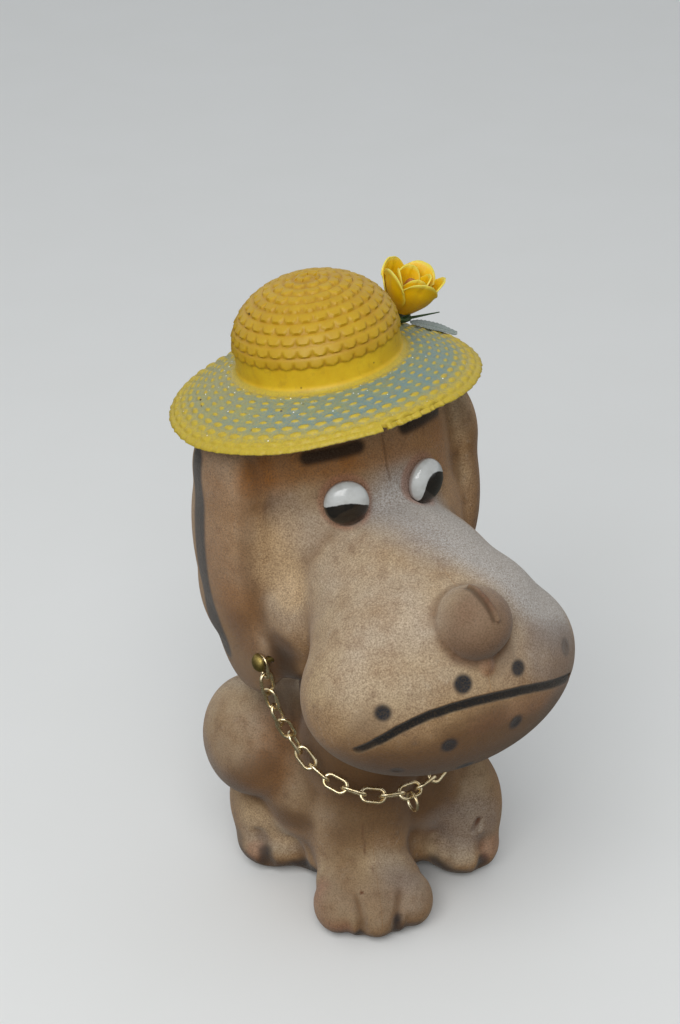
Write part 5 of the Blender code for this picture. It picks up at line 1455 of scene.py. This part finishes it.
FLOWER_RISE = float(brim_height(FLOWER_OUT) + brim_lift(FLOWER_FLAT.x, FLOWER_FLAT.y))
FLOWER_LOCAL = (
    Matrix.Translation(Vector((FLOWER_FLAT.x, FLOWER_FLAT.y, FLOWER_RISE)) * MM)
    @ Matrix.Rotation(FLOWER_TURN, 4, "Z")
    @ Matrix.Rotation(FLOWER_LEAN, 4, "Y")
)
stem_hole = shifted(rod(1.2, -8, 4), FLOWER_LOCAL)
nick = shifted(block((51, -0.9, -20), (60, 0.9, 11)), Matrix.Rotation(NICK_HEADING, 4, "Z"))
for tool in (stem_hole, nick):
    cut(hat, tool)
apply_modifiers(hat)
discard(stem_hole, nick)
print("hat:", len(hat.data.polygons), "faces")

# %% The hat's plastic
def hat_finish():
    """Yellow plastic, orange painted shade in the hollows, sprayed blue-grey on the brim, with glitter
    and dirt.
    """
    straw = Finish("hat_plastic", 0.44, Subsurface_Weight=0.12, Specular_IOR_Level=0.35)
    straw.shader.inputs["Subsurface Radius"].default_value = (0.0016, 0.0009, 0.0003)
    straw.shader.inputs["Subsurface Scale"].default_value = 1
    cloud = straw.noise(7, 4, 0.6)
    fine = straw.noise(0.8, 3, 0.65)
    raised = straw.attribute("weave")
    sprayed = straw.attribute("spray")
    tip = straw.mix(straw.ranged(cloud, 0.35, 0.7), colour(191, 154, 28), colour(179, 140, 20))
    # Painted shade: the hollows between the crown's raised scales get a darker colour.
    shaded_pit = straw.mix(straw.ranged(cloud, 0.35, 0.7), colour(183, 142, 30), colour(170, 127, 24))
    base = straw.mix(straw.ranged(raised, 0.05, 0.5), shaded_pit, tip)
    flat = straw.mix(straw.ranged(cloud, 0.3, 0.7), colour(218, 182, 36), colour(204, 164, 26))
    base = straw.mix(straw.attribute("band"), base, flat)
    grained = straw.ranged(fine, 0.4, 0.7)
    brim_yellow = straw.mix(grained, colour(191, 168, 52), colour(178, 153, 46))
    base = straw.mix(straw.attribute("crown"), brim_yellow, base)
    greener = straw.ranged(cloud, 0.4, 0.65)
    spray_colour = straw.mix(greener, colour(112, 136, 134), colour(128, 142, 116))
    rubbed = straw.ranged(straw.noise(2.2, 4, 0.7), 0.5, 0.78, 0, 0.7)
    spray_colour = straw.mix(rubbed, spray_colour, colour(150, 142, 80))
    held = straw.maths("ADD", sprayed, straw.ranged(fine, 0.3, 0.7, -0.18, 0.18))
    held = straw.maths("SUBTRACT", held, straw.ranged(raised, 0.12, 0.5, 0, 0.85))
    held = straw.maths("MULTIPLY", held, straw.ranged(sprayed, 0, 0.1), clamp=True)
    base = straw.mix(held, base, spray_colour)
    pale = straw.mix(fine, colour(196, 182, 120), colour(178, 166, 118))
    base = straw.mix(straw.attribute("under"), base, pale)
    dirty_part = straw.ranged(straw.noise(22), 0.42, 0.6)
    dirt = straw.maths("MULTIPLY", straw.specks(3.4, 0.16, 0.16), dirty_part)
    base = straw.mix(dirt, base, colour(62, 40, 22))
    grime = straw.ranged(straw.noise(3, 5, 0.7), 0.55, 0.75, 0, 0.32)
    grime = straw.maths("MULTIPLY", grime, straw.ranged(raised, 0.5, 0))
    base = straw.mix(grime, base, colour(140, 102, 44))
    glitter = straw.maths("MULTIPLY", straw.specks(1.5, 0.07, 0.2), straw.ranged(sprayed, 0, 0.2))
    straw.colours(straw.mix(glitter, base, colour(246, 250, 250)))
    straw.rough(straw.mix(glitter, straw.mix(fine, (0.34,) * 3, (0.55,) * 3), (0.12,) * 3))
    grit = straw.maths("MULTIPLY", straw.noise(0.35, 2), 0.5)
    straw.bump(straw.maths("ADD", fine, grit), 0.08, 0.6)
    return straw.material


hat.data.transform(HAT)
coat(hat, hat_finish())
round_off(hat, 50)
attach(hat, "head")
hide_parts("sun_hat")
print("hat finish:", hat.data.materials[0].name)

# %% [markdown]
# ## The flower
# A yellow plastic rose with cupped petals. Each petal starts as a flat grid, is wrapped round the
# flower's axis and bulged, and is given a wall. One edge lies over the next petal and the other
# edge lies under it, so that the petals overlap in turn as on a real bud.

# %% Petals
FLOWER_SAG = math.radians(6)
FLOWER = HAT @ FLOWER_LOCAL @ Matrix.Rotation(FLOWER_SAG, 4, "Y")
PETAL_WALL = 0.5
CUP_FOOT = 4.7


def petal(heading, half_angle, base, rim, length, overlap, tip_curl, foot):
    """One cupped petal, in the flower's frame."""
    bpy.ops.mesh.primitive_grid_add(x_subdivisions=26, y_subdivisions=30, size=2)
    item = bpy.context.object
    flat = points_of(item)
    across, up = flat[:, 0], (flat[:, 1] + 1) / 2
    reach = up * (1 - 0.3 * np.abs(across) ** 2.4 * up)
    swell = np.sin(np.minimum(1, reach * 1.15 + 0.04) * math.pi / 2)
    radius = base + (rim - base) * swell + overlap * across * np.minimum(1, up * 3)
    radius += tip_curl * smooth_step((up - 0.72) / 0.28) * (1 - 0.4 * np.abs(across))
    radius -= 0.35 * np.exp(-(across / 0.12) ** 2) * up
    angle = heading + across * half_angle * (0.86 + 0.14 * np.sin(up * math.pi))
    angle += 0.04 * np.sin(up * 9 + heading)
    rise = foot + length * reach - 0.5 * tip_curl * smooth_step((up - 0.86) / 0.14)
    move_points(item, np.column_stack([radius * np.cos(angle), radius * np.sin(angle), rise]) * MM)
    at_rim = smooth_step((np.maximum(np.abs(across), up) - 0.86) / 0.12)
    store(item, "edge", at_rim * smooth_step((up - 0.25) / 0.3))
    store(item, "rise", up)
    wall = item.modifiers.new("wall", "SOLIDIFY")
    wall.thickness = PETAL_WALL * MM
    wall.offset = 0
    soften = item.modifiers.new("soft rim", "BEVEL")
    soften.width = 0.15 * MM
    soften.segments = 2
    soften.limit_method = "ANGLE"
    soften.angle_limit = math.radians(50)
    return apply_modifiers(item)


def petal_finish(name, deep, bright, edge_colour):
    """Soft yellow plastic: deeper at the foot and paler at the rims, with a few specks of dirt."""
    soft = Finish(name, 0.42, Subsurface_Weight=0.2, Specular_IOR_Level=0.4)
    soft.shader.inputs["Subsurface Radius"].default_value = (0.0015, 0.0009, 0.0002)
    soft.shader.inputs["Subsurface Scale"].default_value = 1
    cloud = soft.noise(3, 4, 0.6)
    rise = soft.attribute("rise")
    base = soft.mix(soft.ranged(rise, 0.1, 0.8), deep, bright)
    base = soft.mix(soft.ranged(cloud, 0.45, 0.75, 0, 0.45), base, deep)
    pale_rim = soft.maths("MULTIPLY", soft.attribute("edge"), soft.ranged(cloud, 0.2, 0.6, 0.6, 1))
    base = soft.mix(pale_rim, base, edge_colour)
    dirt = soft.specks(2.6, 0.1, 0.14)
    soft.colours(soft.mix(dirt, base, colour(96, 66, 26)))
    soft.rough(soft.ranged(soft.noise(0.9, 3), 0.3, 0.7, 0.32, 0.55))
    soft.bump(soft.noise(0.6, 3, 0.6), 0.06, 0.5)
    return soft.material


OUTER_HEADINGS = (150, 222, 294, 6, 78)
INNER_HEADINGS = (20, 110, 200, 290)
OUTER_SHAPE = {
    "half_angle": math.radians(46), "base": 2.6, "rim": 9.7, "length": 15.8,
    "overlap": 0.55, "tip_curl": 1.1, "foot": CUP_FOOT + 0.4,
}
INNER_SHAPE = {
    "half_angle": math.radians(54), "base": 1.9, "rim": 5.7, "length": 13.2,
    "overlap": 0.45, "tip_curl": 0.3, "foot": CUP_FOOT + 2,
}
PETALS = petal_finish(
    "petal_plastic", colour(216, 158, 2), colour(230, 186, 8), colour(230, 214, 90)
)
outer = [petal(math.radians(degrees), **OUTER_SHAPE) for degrees in OUTER_HEADINGS]
inner = [petal(math.radians(degrees), **INNER_SHAPE) for degrees in INNER_HEADINGS]
PETAL_RINGS = [
    ("rose_outer_petals", "outer_petals", outer),
    ("rose_inner_petals", "inner_petals", inner),
]
for name, node, parts in PETAL_RINGS:
    ring_of_petals = joined(name, parts)
    ring_of_petals.data.transform(FLOWER)
    coat(ring_of_petals, PETALS)
    round_off(ring_of_petals, 50)
    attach(ring_of_petals, "head")
    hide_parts(node)
print("petals:", len(outer) + len(inner))

# %% [markdown]
# ## Bud, calyx and leaf
# The bud in the middle is spun and then twisted, so that its folds run round it. The green calyx
# holds the petals, with pointed sepals, a stem through the brim and one thin spike. The leaf is a
# faded fabric one, wired along the middle and frayed at its edges, that lies along the brim.

# %% Bud
def bud_finish():
    """Dull orange plastic, browned in patches."""
    soft = Finish("bud_plastic", 0.55, Subsurface_Weight=0.1)
    cloud = soft.noise(1.4, 4, 0.6)
    soft.colours(soft.mix(soft.ranged(cloud, 0.35, 0.7), colour(178, 118, 52), colour(146, 80, 38)))
    soft.bump(cloud, 0.08, 0.7)
    return soft.material


BUD_FOOT = 6.4
BUD_HALF = 5.4
BUD_RADIUS = 2.45
bud_section = [(0, BUD_FOOT + 2 * BUD_HALF)]
for degrees in range(12, 169, 8):
    angle = math.radians(degrees)
    belly = math.sin(math.radians(180 - degrees)) ** 0.6
    bud_section.append((BUD_RADIUS * belly, BUD_FOOT + BUD_HALF + BUD_HALF * math.cos(angle)))
bud_section.append((0, BUD_FOOT))
bud = turned("rose_bud", bud_section, 60)
places = points_of(bud) / MM
spin = np.arctan2(places[:, 1], places[:, 0])
folds = 1 - 0.16 * np.maximum(0, np.cos(3 * spin + places[:, 2] * 0.55)) ** 6
places[:, :2] *= folds[:, None]
move_points(bud, places * MM)
bud.data.transform(FLOWER)
coat(bud, bud_finish())
round_off(bud, 60)
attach(bud, "head")
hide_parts("flower_bud")
print("bud:", len(bud.data.polygons), "faces")

# %% Calyx
def green_finish(name, dark, light, worn):
    """Two greens in clouds, with worn patches of a third colour."""
    leafy = Finish(name, 0.5, Specular_IOR_Level=0.4)
    cloud = leafy.noise(1.6, 4, 0.65)
    base = leafy.mix(leafy.ranged(cloud, 0.35, 0.7), dark, light)
    worn_part = leafy.ranged(leafy.noise(0.7, 4, 0.7), 0.55, 0.75, 0, 0.8)
    leafy.colours(leafy.mix(worn_part, base, worn))
    leafy.rough(leafy.ranged(cloud, 0.3, 0.7, 0.42, 0.7))
    leafy.bump(leafy.noise(0.5, 3), 0.06, 0.7)
    return leafy


calyx_finish = green_finish(
    "calyx_plastic", colour(38, 60, 30), colour(58, 84, 42), colour(104, 112, 74)
)
STEM_RADIUS = 0.9
CALYX_SECTION = [
    (0, 3.6), (3.9, 3.6), (4.2, 3.35), (4, 2.8), (3.2, 2), (2.2, 1.3), (1.8, 1),
    (STEM_RADIUS, 1), (STEM_RADIUS, -3.7), (0, -4),
]
SEPALS = 5
SEPAL_PLACE = Matrix.Translation(Vector((3.4, 0, 4.6)) * MM)
SEPAL_LEAN = Matrix.Rotation(math.radians(38), 4, "Y")
SPIKE_LENGTH = 12.5
SPIKE_PLACE = Matrix.Translation(Vector((1.8, 0, 2.3)) * MM)
SPIKE_LEAN = Matrix.Rotation(math.radians(58), 4, "Y")


def point(corners, foot_radius, tip_radius, length):
    """A slender cone, in millimetres."""
    bpy.ops.mesh.primitive_cone_add(
        vertices=corners, radius1=foot_radius * MM, radius2=tip_radius * MM, depth=length * MM
    )
    return bpy.context.object


calyx = turned("rose_calyx", CALYX_SECTION, 40)
sepals = []
for number in range(SEPALS):
    sepal = point(8, 1.3, 0.05, 4.4)
    sepal.scale = (0.32, 1, 1)
    settle(sepal)
    out = Matrix.Rotation(math.radians(72 * number + 20), 4, "Z")
    sepals.append(shifted(sepal, out @ SEPAL_PLACE @ SEPAL_LEAN))
spike = point(12, 0.6, 0.18, SPIKE_LENGTH)
to_foot = Matrix.Translation((0, 0, SPIKE_LENGTH / 2 * MM))
spike.data.transform(SPIKE_PLACE @ SPIKE_LEAN @ to_foot)
for piece in sepals + [spike]:
    cut(calyx, piece, "UNION")
apply_modifiers(calyx)
discard(*sepals, spike)
calyx.data.transform(FLOWER)
coat(calyx, calyx_finish.material)
round_off(calyx, 40)
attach(calyx, "head")
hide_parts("calyx")
print("calyx:", SEPALS, "sepals,", len(calyx.data.polygons), "faces")

# %% Leaf
LEAF_START = 4.5
LEAF_LENGTH = 15.5
LEAF_HALF = 4.6
LEAF_HEADING = math.radians(-34)
bpy.ops.mesh.primitive_grid_add(x_subdivisions=44, y_subdivisions=20, size=2)
leaf = bpy.context.object
leaf.name = "rose_leaf"
flat = points_of(leaf)
length_share, side = (flat[:, 0] + 1) / 2, flat[:, 1]
half = LEAF_HALF * np.maximum(0.1, np.sin(math.pi * (0.06 + 0.9 * length_share)))
half *= 1 - 0.16 * np.abs(side) * (0.5 + 0.5 * np.sin(length_share * 75))
out_axis = np.array([math.cos(LEAF_HEADING), math.sin(LEAF_HEADING)])
side_axis = np.array([-out_axis[1], out_axis[0]])
plan = np.array(FLOWER_FLAT) + np.outer(LEAF_START + LEAF_LENGTH * length_share, out_axis)
plan = plan + np.outer(half * side, side_axis)
vein_waves = np.cos((length_share * LEAF_LENGTH - np.abs(side * half) * 1.3) * 2.6)
veins = np.maximum(0, vein_waves) ** 8 * (np.abs(side) < 0.92)
middle_rib = np.exp(-(side * half / 0.35) ** 2)
rest = brim_height(np.hypot(plan[:, 0], plan[:, 1])) + brim_lift(plan[:, 0], plan[:, 1]) + 0.75
rest += 0.25 * middle_rib + 0.1 * veins + 0.12 * np.abs(side) ** 2 * np.sin(length_share * 11)
rest += 0.38 * np.maximum(0, half * side + 1.5)
move_points(leaf, np.column_stack([plan, rest]) * MM)
store(leaf, "veins", np.maximum(veins * 0.8, middle_rib))
wall = leaf.modifiers.new("wall", "SOLIDIFY")
wall.thickness = 0.3 * MM
wall.offset = -1
apply_modifiers(leaf)
leaf_finish = green_finish(
    "leaf_fabric", colour(80, 98, 88), colour(104, 116, 106), colour(140, 150, 144)
)
cloth = leaf_finish.ranged(leaf_finish.noise(0.35, 2), 0.45, 0.75)
veined = leaf_finish.ranged(leaf_finish.attribute("veins"), 0.1, 0.9, 0, 0.75)
leaf_base = leaf_finish.mix(veined, colour(132, 142, 138), colour(96, 110, 98))
leaf_finish.colours(leaf_finish.mix(cloth, leaf_base, colour(160, 168, 164)))
leaf.data.transform(HAT)
coat(leaf, leaf_finish.material)
round_off(leaf, 50)
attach(leaf, "head")
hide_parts("hat_leaf")
print("flower: bud, calyx and leaf done")
